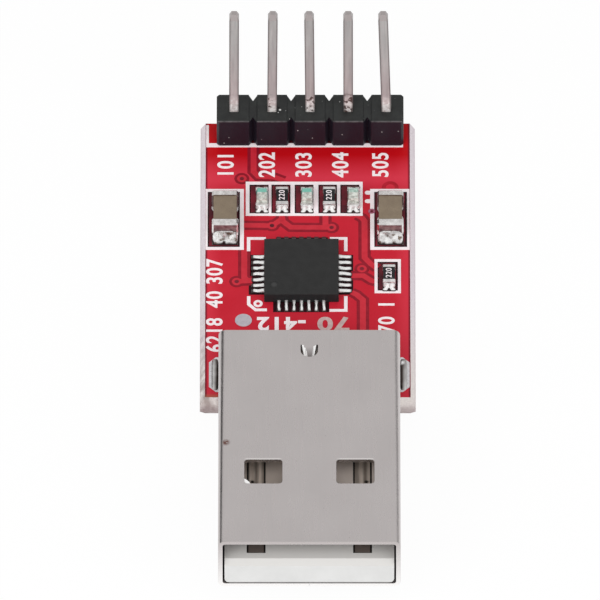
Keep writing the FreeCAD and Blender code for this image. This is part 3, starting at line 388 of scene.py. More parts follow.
def moulding_paint():
    """White nylon, with painted bounce light and shade on its top faces and painted shade in the grooves beside
    the contacts.
    """
    paint = Paint("insulator_plastic", Specular_IOR_Level=0.3, Roughness=0.45)
    drift = paint.ramp(paint.noise(0.8, 3.0), 0.32, 0.68)
    white = paint.mix(drift, (207, 207, 206), (213, 213, 212))
    # Painted bounce light and shade on the top faces: a plain grey white near the mouth, warmer further in, and
    # darker on the left than on the right.
    upward = paint.ramp(paint.part(paint.normal, "Z"), 0.3, 0.8)
    inward = paint.fade(paint.y, SHELL_LOW.y, 2, 4)
    right = paint.fade(paint.x, PLUG_X, -1, 1)
    warm = paint.mix(right, (194, 181, 171), (218, 205, 196))
    white = paint.mix(upward, white, paint.mix(inward, (206, 204, 201), warm))
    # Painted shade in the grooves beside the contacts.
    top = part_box("plug_contact_1")[1].z
    depth = paint.z
    below = paint.fade(depth, top, 0, 0.03, 1.0, 0.0)
    below = paint.times(below, paint.fade(depth, top, -0.32, -0.28))
    behind = paint.fade(paint.y, SHELL_LOW.y, 0.6, 0.7)
    inside = paint.fade(paint.y, SHELL_LOW.y, 12, 12.2, 1.0, 0.0)
    painted_groove_shade = paint.times(below, paint.times(behind, inside))
    across = paint.distance(paint.x, PLUG_X)
    painted_groove_shade = paint.times(painted_groove_shade, paint.ramp(across, 4.2 * MM, 4.3 * MM, 1.0, 0.0))
    white = paint.mix(painted_groove_shade, white, (58, 52, 50))
    seam = paint.fade(depth, PLUG_FLOOR, 0.36, 0.40, 0.85, 0.0)
    paint.set("Base Color", paint.mix(seam, white, (92, 90, 88)))
    paint.bump(paint.noise(4.0, 3.0), 0.004)
    return paint.material


def pin_paint(n):
    """Square pin: drawn plating with a painted dark reflection along its corners and painted shade on the faces
    that look up at its tip, and a brighter foot with some stains there.
    """
    paint = Paint(f"pin_plating_{n}", Metallic=0.25, Roughness=0.42)
    low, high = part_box(f"header_pin_{n}")
    foot_x = STRIP_LOW.x + (END_BLOCK + (n - 1) * PIN_PITCH) * MM
    lean = (low.x + high.x - 2 * foot_x) / (high.z - STRIP_HIGH.z)
    rise = paint.math("SUBTRACT", paint.z, STRIP_HIGH.z)
    centre = paint.math("ADD", foot_x, paint.times(paint.math("MAXIMUM", rise, 0.0), lean))
    across = paint.distance(paint.x, centre)
    along = paint.math("SUBTRACT", paint.y, (low.y + high.y) / 2)
    corner = paint.math("MINIMUM", across, paint.math("ABSOLUTE", along))
    streaks = paint.ramp(paint.noise(2.2, 4.0, stretch=(2, 2, 0.15), shift=(0, 0, n * MM)), 0.3, 0.7)
    plating = paint.mix(streaks, (174, 169, 169), (198, 193, 192))
    upper = paint.ramp(rise, 3.0 * MM, 7.0 * MM, 0.0, 0.8)
    plating = paint.mix(upper, plating, paint.mix(streaks, (162, 165, 164), (188, 191, 189)))
    foot = paint.ramp(rise, 0.8 * MM, 1.6 * MM, 1.0, 0.0)
    bright = paint.mix(paint.ramp(paint.noise(4.0, 3.0), 0.4, 0.6), (222, 210, 208), (255, 250, 248))
    plating = paint.mix(foot, plating, bright)
    level = STAIN_LEVELS[n - 1]
    stains = paint.ramp(paint.noise(3.0, 4.0, shift=(n * MM, 0, 0)), level, level + 0.05)
    stains = paint.times(stains, paint.ramp(rise, 1.5 * MM, 1.9 * MM, 1.0, 0.0))
    plating = paint.mix(stains, plating, (92, 74, 70))
    # Painted shade on the faces that look up, at the tip.
    bevel = paint.ramp(paint.part(paint.normal, "Z"), 0.05, 0.3, 0.0, 0.85)
    plating = paint.mix(bevel, plating, (163, 154, 153))
    # A painted dark reflection along the pin's corners.
    edges = paint.ramp(corner, 0.20 * MM, 0.30 * MM, 0.0, 0.9)
    paint.set("Base Color", paint.mix(edges, plating, (98, 93, 93)))
    paint.bump(paint.noise(3.0, 3.0, stretch=(1, 1, 0.2)), 0.006)
    return paint.material


def big_cap_paint():
    """Tinned ends of the capacitors, duller on their outer faces, where a blotchy painted reflection of the red
    board tints them brown.
    """
    paint = Paint("capacitor_end_tin", Metallic=1.0)
    patches = paint.ramp(paint.noise(3.0, 4.0), 0.3, 0.7)
    tin = paint.mix(patches, (208, 204, 202), (250, 248, 246))
    # A blotchy painted reflection of the red board on the outer faces.
    faces = paint.ramp(paint.math("ABSOLUTE", paint.part(paint.normal, "Y")), 0.75, 0.95, 0.0, 0.85)
    board_reflection = paint.ramp(paint.noise(2.4, 3.0, shift=(0, 0.02, 0)), 0.35, 0.6)
    tin = paint.mix(faces, tin, paint.mix(board_reflection, (188, 176, 172), (120, 86, 92)))
    paint.set("Base Color", tin)
    paint.set("Roughness", paint.ramp(faces, 0.0, 0.85, 0.24, 0.42))
    paint.bump(paint.noise(4.0, 3.0), 0.008)
    return paint.material


def contact_paint(n):
    """A sprung contact, painted darker on the right of the plug, with painted shade over its end at the mouth
    and along its edges, and a dark line along its middle further in.
    """
    paint = Paint(f"contact_plating_{n}", Metallic=0.2, Roughness=0.5)
    low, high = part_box(f"plug_contact_{n}")
    middle = (low.x + high.x) / 2
    side = 1 if middle > PLUG_X else -1
    wander = paint.times(paint.noise(0.8, 2.0, shift=(n * MM, 0, 0)), 0.16 * MM)
    offset = paint.math("SUBTRACT", paint.x, middle + side * 0.08 * MM)
    across = paint.distance(offset, wander)
    streaks = paint.ramp(paint.noise(5.0, 3.0, stretch=(1, 0.05, 1)), 0.35, 0.65)
    # Streaks of plating, painted darker as shade on the contacts right of the centre line.
    edge_highlight_and_dark_streak, light_streak = ((184, 170, 157), (226, 211, 198)) if side > 0 else ((210, 194, 180), (252, 236, 222))
    bright = paint.mix(streaks, edge_highlight_and_dark_streak, light_streak)
    line = paint.ramp(across, 0.05 * MM, 0.20 * MM, 0.65, 0.0)
    bright = paint.mix(line, bright, (96, 84, 76))
    # Painted shade along the contact's edges.
    edges = paint.ramp(across, 0.34 * MM, 0.46 * MM, 0.0, 0.6)
    bright = paint.mix(edges, bright, (110, 98, 90))
    nick = spot(paint, middle + side * 0.26 * MM, SHELL_LOW.y + 7.1 * MM, 0.13 * MM, 0.06 * MM)
    bright = paint.mix(nick, bright, (44, 36, 34))
    # Painted shade over the contact's end, within 3 mm of the mouth.
    painted_mouth_shade = paint.fade(paint.y, SHELL_LOW.y, 3.0, 3.6, 1.0, 0.0)
    paint.set("Base Color", paint.mix(painted_mouth_shade, bright, (104, 94, 88)))
    paint.bump(paint.noise(4.0, 3.0, stretch=(1, 0.1, 1)), 0.01)
    return paint.material


def land_paint():
    """Lands dulled by flux, with solder mask over the ends of those behind the chip."""
    paint = Paint("stained_lands", Metallic=1.0, Roughness=0.4)
    patches = paint.ramp(paint.noise(3.0, 4.0), 0.3, 0.7)
    stained = paint.mix(patches, (84, 76, 74), (120, 110, 106))
    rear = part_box("serial_chip")[1].y
    behind = paint.fade(paint.y, rear, 0.68, 0.70)
    across = paint.math("ABSOLUTE", paint.x)
    covered = paint.times(behind, paint.ramp(across, 3.0 * MM, 3.1 * MM, 1.0, 0.0))
    before = paint.fade(paint.y, rear, 1.0, 1.1, 1.0, 0.0)
    covered = paint.times(covered, before)
    paint.set("Base Color", paint.mix(covered, stained, (70, 16, 26)))
    paint.set("Metallic", paint.ramp(covered, 0.0, 1.0, 1.0, 0.0))
    return paint.material


def lens_paint(name, rear_y, bar_share):
    """Clear epoxy over a pale base, with a green polarity bar at its rear end."""
    paint = Paint(name, Roughness=0.22, Coat_Weight=0.4, Coat_Roughness=0.12)
    mottle = paint.ramp(paint.noise(5.0, 4.0), 0.38, 0.62)
    pale = paint.mix(mottle, (168, 168, 160), (226, 230, 222))
    bar = paint.fade(paint.y, rear_y, -0.46, -0.38, 0.0, bar_share)
    paint.set("Base Color", paint.mix(bar, pale, (112, 190, 172)))
    paint.bump(paint.noise(6.0, 3.0), 0.012)
    return paint.material


def capacitor_paint():
    """Layered brown ceramic with fine grains."""
    paint = Paint("capacitor_ceramic", Specular_IOR_Level=0.4)
    layers = paint.ramp(paint.noise(1.2, 4.0), 0.3, 0.7)
    body = paint.mix(layers, (128, 113, 95), (143, 128, 108))
    grains = paint.ramp(paint.noise(18.0, 3.0), 0.35, 0.7, 0.0, 0.4)
    paint.set("Base Color", paint.mix(grains, body, (112, 98, 84)))
    paint.set("Roughness", paint.ramp(grains, 0.0, 0.4, 0.45, 0.6))
    paint.bump(paint.noise(18.0, 3.0), 0.006)
    return paint.material


def print_paint(name, dark, light, scale=2.0, roughness=0.4, level=0.2, bump=0.004):
    """Ink, or what shows through the mask."""
    return plain_paint(name, dark, light, scale, roughness, bump, Specular_IOR_Level=level)


MASK = board_paint()
INK_PAINT = print_paint("silkscreen_ink", (255, 238, 242), (255, 250, 252), 3.0, 0.6)
FAINT_INK = print_paint("thin_silkscreen_ink", (196, 168, 166), (214, 190, 186), 3.0, 0.6)
GAP_PAINT = print_paint("bare_laminate_under_mask", (136, 18, 36), (152, 26, 44))
TRACK_PAINT = print_paint("copper_under_mask", (200, 38, 54), (208, 46, 62), roughness=0.38, level=0.25)
FAINT_GAP = print_paint("thin_laminate_under_mask", (168, 24, 40), (186, 32, 50))
CELL_PAINT = print_paint("mask_over_laminate", (60, 24, 32), (132, 36, 50), 0.9)
WORN_INK = print_paint("worn_silkscreen_ink", (150, 78, 100), (186, 116, 140), 6.0, 0.5)
# Dark laminate round the chip's lands; also the painted shadow of the ink inside the printed boxes and cells.
BARE_AND_INK_SHADOW_PAINT = print_paint("dark_laminate_and_ink_shadow", (30, 12, 16), (50, 20, 26), 4.0, 0.5, 0.1, 0.006)
SOLDER = solder_paint("solder_tin", 0.70, 0.001, 0.5, (208, 206, 205))
# The last number of each is how high the painted shade at the solder's foot reaches, in millimetres.
HEAP_SOLDER = solder_paint("heaped_solder_tin", 0.56, 0.003, 0.8, (200, 196, 195), 0.09)
BRIGHT_SOLDER = solder_paint("bright_solder_tin", 0.78, 0.001, 0.5, (250, 249, 248), 0.05)
CERAMIC = capacitor_paint()
# Where the shell's sheet is sheared: bright steel, made near white as a painted glint.
SHEARED_AND_GLINT = metal_paint("sheared_steel_and_glint", (246, 244, 243), (255, 254, 253), 0.25, scale=4.0, metallic=0.4)


def skin(name, material):
    """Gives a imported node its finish."""
    mesh = NODES[name].data
    mesh.materials.clear()
    mesh.materials.append(material)


def soften(name, width, angle):
    """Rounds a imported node's edges a little, so that they catch the light."""
    thing = NODES[name]
    weld = thing.modifiers.new("weld", "WELD")
    weld.merge_threshold = 0.0005 * MM
    flatten = thing.modifiers.new("flatten", "DECIMATE")
    flatten.decimate_type = "DISSOLVE"
    flatten.angle_limit = math.radians(1.0)
    bevel = thing.modifiers.new("bevel", "BEVEL")
    bevel.width = width * MM
    bevel.segments = 3
    bevel.limit_method = "ANGLE"
    bevel.angle_limit = math.radians(angle)
    bevel.harden_normals = False


def add(name, data):
    """Adds an object to the scene."""
    made = bpy.data.objects.new(name, data)
    bpy.context.scene.collection.objects.link(made)
    return made


def piece(name, mesh, material, smooth=False):
    """Turns a bmesh into a piece that rides on the part."""
    mesh.normal_update()
    data = bpy.data.meshes.new(name)
    mesh.to_mesh(data)
    mesh.free()
    data.materials.append(material)
    for face in data.polygons:
        face.use_smooth = smooth
    made = add(name, data)
    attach(made, "root")
    return made


def on_board(x, back, height):
    """A place over the board's face."""
    return Vector((CENTRE_X + x * MM, BOARD_HIGH.y - back * MM, FACE + height * MM))


def prism(mesh, low, high):
    """Adds a closed solid between two loops of places that run anticlockwise as seen from above."""
    low = [mesh.verts.new(place) for place in low]
    high = [mesh.verts.new(place) for place in high]
    mesh.faces.new(high)
    mesh.faces.new(low[::-1])
    for n in range(len(low)):
        mesh.faces.new((low[n - 1], low[n], high[n], high[n - 1]))


def plate(mesh, outline, heights):
    """Adds a flat plate with an outline of places on the board."""
    area = sum(a[0] * b[1] - b[0] * a[1] for a, b in zip(outline, outline[1:] + outline[:1]))
    turned = outline[::-1] if area > 0 else outline
    prism(mesh, *([on_board(x, back, height) for x, back in turned] for height in heights))


def block(mesh, left, right, rear, front, heights):
    """Adds a plate with four square corners."""
    plate(mesh, [(left, rear), (right, rear), (right, front), (left, front)], heights)


def lattice(mesh, xs, backs, holes, heights):
    """Adds a plate cut into a grid, less the cells named in holes."""
    cells = [(i, j) for i in range(len(xs) - 1) for j in range(len(backs) - 1) if (i, j) not in holes]
    corners = {}

    def corner(i, j, level):
        key = (i, j, level)
        if key not in corners:
            corners[key] = mesh.verts.new(on_board(xs[i], backs[j], heights[level]))
        return corners[key]

    for i, j in cells:
        around = [(i, j + 1), (i + 1, j + 1), (i + 1, j), (i, j)]
        mesh.faces.new([corner(a, b, 1) for a, b in around])
        mesh.faces.new([corner(a, b, 0) for a, b in reversed(around)])
        beside = [(i, j + 1), (i + 1, j), (i, j - 1), (i - 1, j)]
        for n, neighbour in enumerate(beside):
            if neighbour not in cells:
                first = around[n]
                second = around[(n + 1) % 4]
                mesh.faces.new((corner(*first, 0), corner(*second, 0), corner(*second, 1), corner(*first, 1)))


def ring(mesh, x, back, outer, inner, heights):
    """Adds a flat ring, or a disc where inner is zero."""
    turns = [2 * math.pi * n / RING_SIDES for n in range(RING_SIDES)]
    if inner == 0:
        plate(mesh, [(x + outer * math.cos(a), back + outer * math.sin(a)) for a in turns], heights)
        return
    loops = []
    low, high = heights
    for radius, height in ((inner, low), (outer, low), (outer, high), (inner, high)):
        places = [on_board(x + radius * math.cos(a), back - radius * math.sin(a), height) for a in turns]
        loops.append([mesh.verts.new(place) for place in places])
    for first, second in zip(loops, loops[1:] + loops[:1]):
        for n in range(RING_SIDES):
            mesh.faces.new((first[n - 1], first[n], second[n], second[n - 1]))


def ribbon(mesh, points, width, heights):
    """Adds a strip of even width along a line of places, with mitred corners."""
    path = [Vector(point) for point in points]
    left = []
    right = []
    for n, point in enumerate(path):
        before = (point - path[n - 1]).normalized() if n > 0 else None
        after = (path[n + 1] - point).normalized() if n < len(path) - 1 else None
        along = ((before or after) + (after or before)).normalized()
        side = Vector((-along.y, along.x))
        reach = width / 2 / max(0.3, along.dot(after or before))
        left.append(tuple(point + side * reach))
        right.append(tuple(point - side * reach))
    plate(mesh, left + right[::-1], heights)


def figures(mesh, text, x, back, size, turn, heights, bold=0.02, squeeze=1.0):
    """Adds plain figures, printed flat. turn is in degrees, to the left."""
    curve = bpy.data.curves.new("figures", "FONT")
    curve.body = text
    curve.size = size * MM
    curve.offset = bold * size * MM
    curve.space_character = 1.12
    curve.extrude = (heights[1] - heights[0]) / 2 * MM
    curve.align_x = "CENTER"
    curve.align_y = "CENTER"
    written = add("figures", curve)
    bpy.context.view_layer.update()
    data = bpy.data.meshes.new_from_object(written.evaluated_get(bpy.context.evaluated_depsgraph_get()))
    middle = on_board(x, back, sum(heights) / 2)
    turned = Matrix.Rotation(math.radians(turn), 4, "Z")
    data.transform(Matrix.Translation(middle) @ turned @ Matrix.Diagonal((squeeze, 1, 1, 1)))
    mesh.from_mesh(data)
    bpy.data.objects.remove(written)
    bpy.data.curves.remove(curve)
    bpy.data.meshes.remove(data)


# The printed boxes: left and right outer sides, inner sides, then the same from the rear to the front.
LEFT_BOX = ((-6.80, -6.66, -4.52, -4.25), (5.86, 6.11, 11.01, 11.26))
RIGHT_BOX = ((4.16, 4.43, 6.61, 6.78), (5.86, 6.11, 11.01, 11.26))
SIDE_BOX = ((4.44, 4.64, 5.99, 6.19), (12.09, 12.32, 14.87, 15.10))
ROW_XS = (-4.13, -3.88, -2.61, -2.42, -1.15, -0.87, 0.38, 0.71, 1.95, 2.17, 3.44, 3.66)
ROW_BACKS = (5.21, 5.47, 8.02, 8.24)
ROW_CELLS = range(1, len(ROW_XS) - 1, 2)
# The inside of each box and of each cell of the row: its sides, its ends, and how wide the painted ink
# shadow is along its right side.
OPENINGS = [(xs[1:3], backs[1:3], 0.13) for xs, backs in (LEFT_BOX, RIGHT_BOX, SIDE_BOX)]
OPENINGS += [(ROW_XS[n:n + 2], ROW_BACKS[1:3], 0.08) for n in ROW_CELLS]
VIAS = [(-4.39, 4.92), (-2.38, 9.1), (1.59, 9.27), (-4.72, 14.06), (3.6, 12.93)]
# The via whose ring shows through the ink of the right box.
INKED_VIA = (4.26, 7.84)
# A ring that shows faintly by the right edge: its place and radii.
FAINT_RING = (5.50, 5.72, 0.56, 0.30)
# Bare fields round the chip's lands: left, right, rear and front.
CHIP_FIELDS = [
    (-2.3, 1.42, 15.5, 16.76),
    (-3.92, -2.8, 11.7, 15.22),
    (1.9, 3.02, 11.7, 15.22),
    (-2.1, 1.34, 10.15, 11.2),
]
TRACK_WIDTH = 0.40
GAP_WIDTH = 0.21
# Copper tracks on the face, by the places where they bend.
TRACKS = [
    [(-4.25, 9.07), (-2.38, 9.1), (-2.0, 8.78), (-1.72, 8.5), (-1.72, 8.0)],
    [(-1.72, 8.3), (-1.66, 8.72), (-1.12, 9.25), (1.59, 9.27)],
    [(1.18, 8.0), (1.18, 9.0), (1.4, 9.27)],
    [(3.3, 8.2), (3.62, 8.42), (3.78, 8.7), (3.78, 11.95), (4.2, 12.5), (4.6, 12.9)],
    [(-4.22, 11.1), (-4.22, 13.72), (-4.0, 13.95), (-3.7, 13.95)],
    [(-4.72, 14.06), (-3.7, 13.98)],
    [(2.9, 13.54), (3.7, 13.54), (4.22, 13.98), (4.6, 14.1)],
    [(2.9, 15.0), (3.25, 15.22), (3.66, 15.68), (3.66, 19.0)],
    [(-3.61, 2.1), (-3.61, 4.3), (-3.3, 4.72), (-2.2, 4.8), (-1.6, 5.1)],
]


def etched_face():
    """The tracks, the gaps beside them and the covered vias, as they show through the mask."""
    gaps = bmesh.new()
    tracks = bmesh.new()
    dots = bmesh.new()
    for n, points in enumerate(TRACKS):
        ribbon(gaps, points, TRACK_WIDTH + 2 * GAP_WIDTH, (GAP[0], GAP[1] + n * STEP))
        ribbon(tracks, points, TRACK_WIDTH, (TRACK[0], TRACK[1] + n * STEP))
    for n, (x, back) in enumerate(VIAS, len(TRACKS)):
        ring(gaps, x, back, 0.50, 0, (GAP[0], GAP[1] + n * STEP))
        ring(tracks, x, back, 0.32, 0, (TRACK[0], TRACK[1] + n * STEP))
        ring(dots, x, back, 0.15, 0, (TRACK[0], TRACK[1] + 2 * n * STEP))
    piece("gaps_round_tracks", gaps, GAP_PAINT)
    piece("tracks", tracks, TRACK_PAINT)
    ring(dots, *INKED_VIA, 0.1, 0, (INK[0], INK[1] + 10 * STEP))
    piece("covered_vias", dots, CELL_PAINT)
    faint = bmesh.new()
    ring(faint, *FAINT_RING, TRACK)
    piece("faint_ring", faint, FAINT_GAP)
    rims = bmesh.new()
    ring(rims, *INKED_VIA, 0.23, 0, (INK[0], INK[1] + 5 * STEP))
    piece("inked_via_rim", rims, WORN_INK)


def bare_fields():
    """Fields without copper: under the parts in their printed boxes, and round the chip's lands. Inside each
    box and cell, a frame of painted ink shadow.
    """
    cells = bmesh.new()
    dark = bmesh.new()
    for (left, right), (rear, front), right_ink_shadow in OPENINGS:
        block(cells, left, right, rear, front, FIELD)
        # A frame of painted ink shadow inside each box and cell, widest at the right.
        ink_shadow_xs = (left, left + 0.08, right - right_ink_shadow, right)
        lattice(dark, ink_shadow_xs, (rear, rear + 0.10, front - 0.10, front), {(1, 1)}, DARK_FIELD)
    for sides in CHIP_FIELDS:
        block(dark, *sides, DARK_FIELD)
    piece("fields_under_parts", cells, CELL_PAINT)
    piece("chip_fields_and_ink_shadows", dark, BARE_AND_INK_SHADOW_PAINT)


def silkscreen():
    """White ink: boxes round the parts, brackets round the chip, and plain figures."""
    ink = bmesh.new()
    for xs, backs in (LEFT_BOX, RIGHT_BOX, SIDE_BOX):
        lattice(ink, xs, backs, {(1, 1)}, INK)
    lattice(ink, ROW_XS, ROW_BACKS, {(n, 1) for n in ROW_CELLS}, INK)
    line = 0.23
    brackets = [
        [(-4.05, 10.14), (-2.78, 10.14), (-2.78, 10.14 + line), (-4.05 + line, 10.14 + line),
         (-4.05 + line, 11.38), (-4.05, 11.38)],
        [(2.645, 10.14), (1.474, 10.14), (1.474, 10.14 + line), (2.645 - line, 10.14 + line),
         (2.645 - line, 11.38), (2.645, 11.38)],
        [(2.64, 16.735), (1.443, 16.735), (1.443, 16.735 - line), (2.64 - line, 16.735 - line),
         (2.64 - line, 15.37), (2.64, 15.37)],
        [(-4.035, 15.37), (-4.035 + line, 15.37), (-4.035 + line, 16.03), (-3.42, 16.46), (-2.71, 16.46),
         (-2.71, 16.69), (-3.50, 16.69), (-4.035, 16.13)],
    ]
    for outline in brackets:
        plate(ink, outline, INK)
    ring(ink, -3.30, 16.02, 0.31, 0.13, INK)
    for back in (6.184, 6.941):
        turns = [math.pi * (0.5 + n / 8) for n in range(9)]
        end = [(3.97 + 0.17 * math.cos(turn), back + 0.17 * math.sin(turn)) for turn in turns]
        plate(ink, [*end, (4.16, back - 0.17), (4.16, back + 0.17)], INK)
    plate(ink, [(-6.78, 0.16), (-6.60, 0.16), (-6.60, 1.78), (6.36, 1.78), (6.36, 2.13), (-6.78, 2.13)], INK)
    for n, x in enumerate((-5.42, -2.67, -0.22, 2.23, 4.90)):
        figures(ink, f"{n + 1}0{n + 1}", x, 3.70, 1.5, 90, INK, squeeze=0.92)
    for text, back in (("307", 13.2), ("40", 15.66), ("6218", 18.8)):
        figures(ink, text, -6.14, back, 1.5, 90, INK, squeeze=0.92)
    for text, back in (("1", 16.1), ("70", 17.9)):
        figures(ink, text, 5.28, back, 1.5, 90, INK, squeeze=0.92)
    figures(ink, "-412", -1.75, 17.75, 1.62, 180, INK, bold=0.035)
    piece("silkscreen", ink, INK_PAINT)
    faint = bmesh.new()
    figures(faint, "70", 1.72, 17.75, 1.62, 180, INK, bold=0.035, squeeze=1.25)
    piece("thin_silkscreen", faint, FAINT_INK)
    lit = bmesh.new()
    ring(lit, -4.27, 17.49, 0.56, 0, (0.003, 0.030))
    bare = metal_paint("bare_disc", (200, 193, 201), (212, 205, 213), 0.5)
    piece("test_disc", lit, bare)


def lump(mesh, base, across, out, width, reach, shape, steps):
    """
    Solder on a land, as a closed skin. base is the middle of the side where it starts, and across and out
    are directions. shape gives height, sideways shift and width, for places across and out, in millimetres
    and as shares of the width.
    """
    columns, rows = steps
    top = []
    floor = []
    for j in range(rows + 1):
        v = j / rows
        top_row = []
        floor_row = []
        for i in range(columns + 1):
            u = i / columns * 2 - 1
            height, shift, share = shape(u, v)
            place = base + across * ((u * share + shift) * width / 2) + out * (reach * v)
            floor_row.append(mesh.verts.new(place))
            top_row.append(mesh.verts.new(place + Vector((0, 0, max(0.002, height) * MM))))
        top.append(top_row)
        floor.append(floor_row)
    turned = across.cross(out).z < 0

    def quad(a, b, c, d):
        mesh.faces.new((d, c, b, a) if turned else (a, b, c, d))

    for j in range(rows):
        for i in range(columns):
            quad(top[j][i], top[j][i + 1], top[j + 1][i + 1], top[j + 1][i])
            quad(floor[j][i], floor[j + 1][i], floor[j + 1][i + 1], floor[j][i + 1])
        quad(floor[j][0], top[j][0], top[j + 1][0], floor[j + 1][0])
        quad(top[j][columns], floor[j][columns], floor[j + 1][columns], top[j + 1][columns])
    for i in range(columns):
        quad(top[0][i], floor[0][i], floor[0][i + 1], top[0][i + 1])
        quad(floor[rows][i], top[rows][i], top[rows][i + 1], floor[rows][i + 1])


def ripple(place, size, seed):
    """A smooth number from about -1 to 1 that changes over size millimetres."""
    return noise.noise(Vector((place[0] / size, place[1] / size, seed)))


def two_lobes(height, seed):
    """Solder that climbs an end cap and parts into two lobes towards the land's corners."""

    def shape(u, v):
        shoulder = max(0.0, 1 - abs(u) ** 4) ** 0.5
        valley = math.exp(-(u / (0.12 + 0.16 * v)) ** 2) * min(1.0, 1.8 * v)
        lobes = (0.45 + 0.55 * math.sin(math.pi * min(1.0, abs(u) * 1.05)) ** 0.8) * (1 - valley)
        rise = height * (1 - v) ** 2.2
        pool = 0.10 * (1 - v ** 5) * (1 + 0.5 * ripple((u, v), 0.6, seed))
        part = max(0.0, 1 - 2.4 * v)
        tall = (rise + pool) * shoulder * (part + (1 - part) * (lobes - 0.42 * v * (abs(u) < 0.3)))
        waist = 1.0 - 0.22 * math.sin(math.pi * min(1.0, v * 1.6)) + 0.10 * v
        return tall, 0.05 * ripple((v, seed), 0.4, seed), waist

    return shape


def heap(height, seed):
    """Solder that climbs a large end cap: a lumpy hollow slope with a thick foot."""

    def shape(u, v):
        shoulder = max(0.0, 1 - abs(u) ** 5) ** 0.5
        slope = height * (0.12 + 0.88 * (1 - v) ** 1.9) * (1 - 0.95 * v ** 6)
        lumps = 0.19 * ripple((u * 1.2, v), 0.42, seed)
        valley = 0.15 * math.exp(-((u + 0.1) / 0.13) ** 2) * min(1.0, 2.0 * v)
        tall = slope + (lumps - valley) * min(1.0, 4 * v) * (1 - v ** 4)
        return tall * shoulder, 0.0, 1 - 0.10 * v * v

    return shape


def streak(seed):
    """A narrow ridge of solder on one of the chip's lands, that runs down from the lead."""

    def shape(u, v):
        round_top = max(0.0, 1 - u ** 4) ** 0.5
        climb = 0.12 * (1 - v) ** 1.6
        bead = 0.055
        end = max(0.0, 1 - v ** 8)
        uneven = max(0.0, 0.3 + 2 * ripple((seed, 3), 0.6, seed))
        pinch = 1 - 0.25 * math.exp(-((v - 0.36) / 0.14) ** 2) * uneven
        bend = 0.5 * ripple((seed, v * 1.5), 0.9, seed)
        return (climb + bead) * round_top * end, bend, pinch

    return shape


def surface_solder():
    """Solder at both ends of every small part."""
    lobes = bmesh.new()
    heaps = bmesh.new()
    for n, name in enumerate(SMALL_PARTS + BIG_PARTS):
        low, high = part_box(f"{name}_ends")
        big = name in BIG_PARTS
        for out, y in ((-REARWARD, low.y), (REARWARD, high.y)):
            seed = n * 3.1 + out.y
            shape = heap(0.70, seed) if big else two_lobes(0.26, seed)
            base = Vector(((low.x + high.x) / 2, y, SEAT))
            reach = (0.64 if big else 0.38) * MM
            lump(heaps if big else lobes, base, RIGHT, out, high.x - low.x, reach, shape, (16, 14))
    piece("small_solder_lobes", lobes, BRIGHT_SOLDER, smooth=True)
    made = piece("solder_heaps", heaps, HEAP_SOLDER, smooth=True)
    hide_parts("surface_solder")


def side_flecks():
    """Thin flecks of solder on the lands' edges, along the sides of the large capacitors."""
    mesh = bmesh.new()
    for n, name in enumerate(BIG_PARTS):
        low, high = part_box(name)
        for side, x in ((-1, low.x), (1, high.x)):
            for k, share in enumerate((0.15, 0.45, 0.85)):
                size = 0.30 + 0.25 * ripple((n, k), 0.7, side)
                back = (BOARD_HIGH.y - low.y - share * (high.y - low.y)) / MM
                edge = (x - CENTRE_X) / MM + side * 0.01
                out = edge + side * (0.10 + 0.04 * ripple((k, n), 0.6, side + 4))
                outline = [(edge, -size), (out, -size / 2), (out, size / 3), (edge, size)]
                plate(mesh, [(place, back + ahead) for place, ahead in outline], (0.02, 0.12))
    piece("capacitor_side_flecks", mesh, BRIGHT_SOLDER)


def chip_solder():
    """A streak of solder on each of the chip's lands."""
    mesh = bmesh.new()
    low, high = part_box("serial_chip")
    middle = Vector(((low.x + high.x) / 2, (low.y + high.y) / 2, SEAT))
    half = (high.x - low.x) / 2
    # How far the streaks run out: in front, to the right, behind and to the left.
    for side, reach in enumerate((0.83, 0.90, 0.66, 0.80)):
        turn = Matrix.Rotation(math.pi / 2 * side, 3, "Z")
        across = turn @ RIGHT
        out = turn @ -REARWARD
        for n in range(LEADS):
            place = middle + out * half + across * ((n - (LEADS - 1) / 2) * LEAD_PITCH * MM)
            wide = (0.21 if side % 2 == 0 else 0.29) * MM
            lump(mesh, place, across, out, wide, reach * MM, streak(side * 9.7 + n * 1.3), (8, 14))
    made = piece("chip_solder_streaks", mesh, BRIGHT_SOLDER, smooth=True)
    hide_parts("chip_solder")


def slot_solder_paint():
    """Smooth tin with a painted dark reflection of the gap beside the plug's shell, next to a bright outer
    slope, and a painted glint.
    """
    paint = Paint("slot_solder_tin_and_reflection", Metallic=1.0, Roughness=0.3)
    across = paint.distance(paint.x, PLUG_X)
    wall = (SHELL_HIGH.x - SHELL_LOW.x) / 2
    waves = paint.noise(0.9, 2.0, stretch=(1, 0.7, 1))
    gap = paint.math("SUBTRACT", across, paint.times(paint.math("SUBTRACT", waves, 0.5), 0.5 * MM))
    # A painted dark reflection of the gap beside the shell, turning to bright tin further out.
    tin = paint.mix(paint.fade(gap, wall, 0.16, 0.46), (84, 77, 73), (222, 220, 219))
    # A painted glint.
    glint = spot(paint, SHELL_HIGH.x + 0.12 * MM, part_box("leg_plating")[1].y - 0.55 * MM, 0.16 * MM, 0.1 * MM)
    paint.set("Base Color", paint.mix(glint, tin, (255, 255, 255)))
    paint.bump(paint.noise(2.0, 2.0), 0.002)
    return paint.material


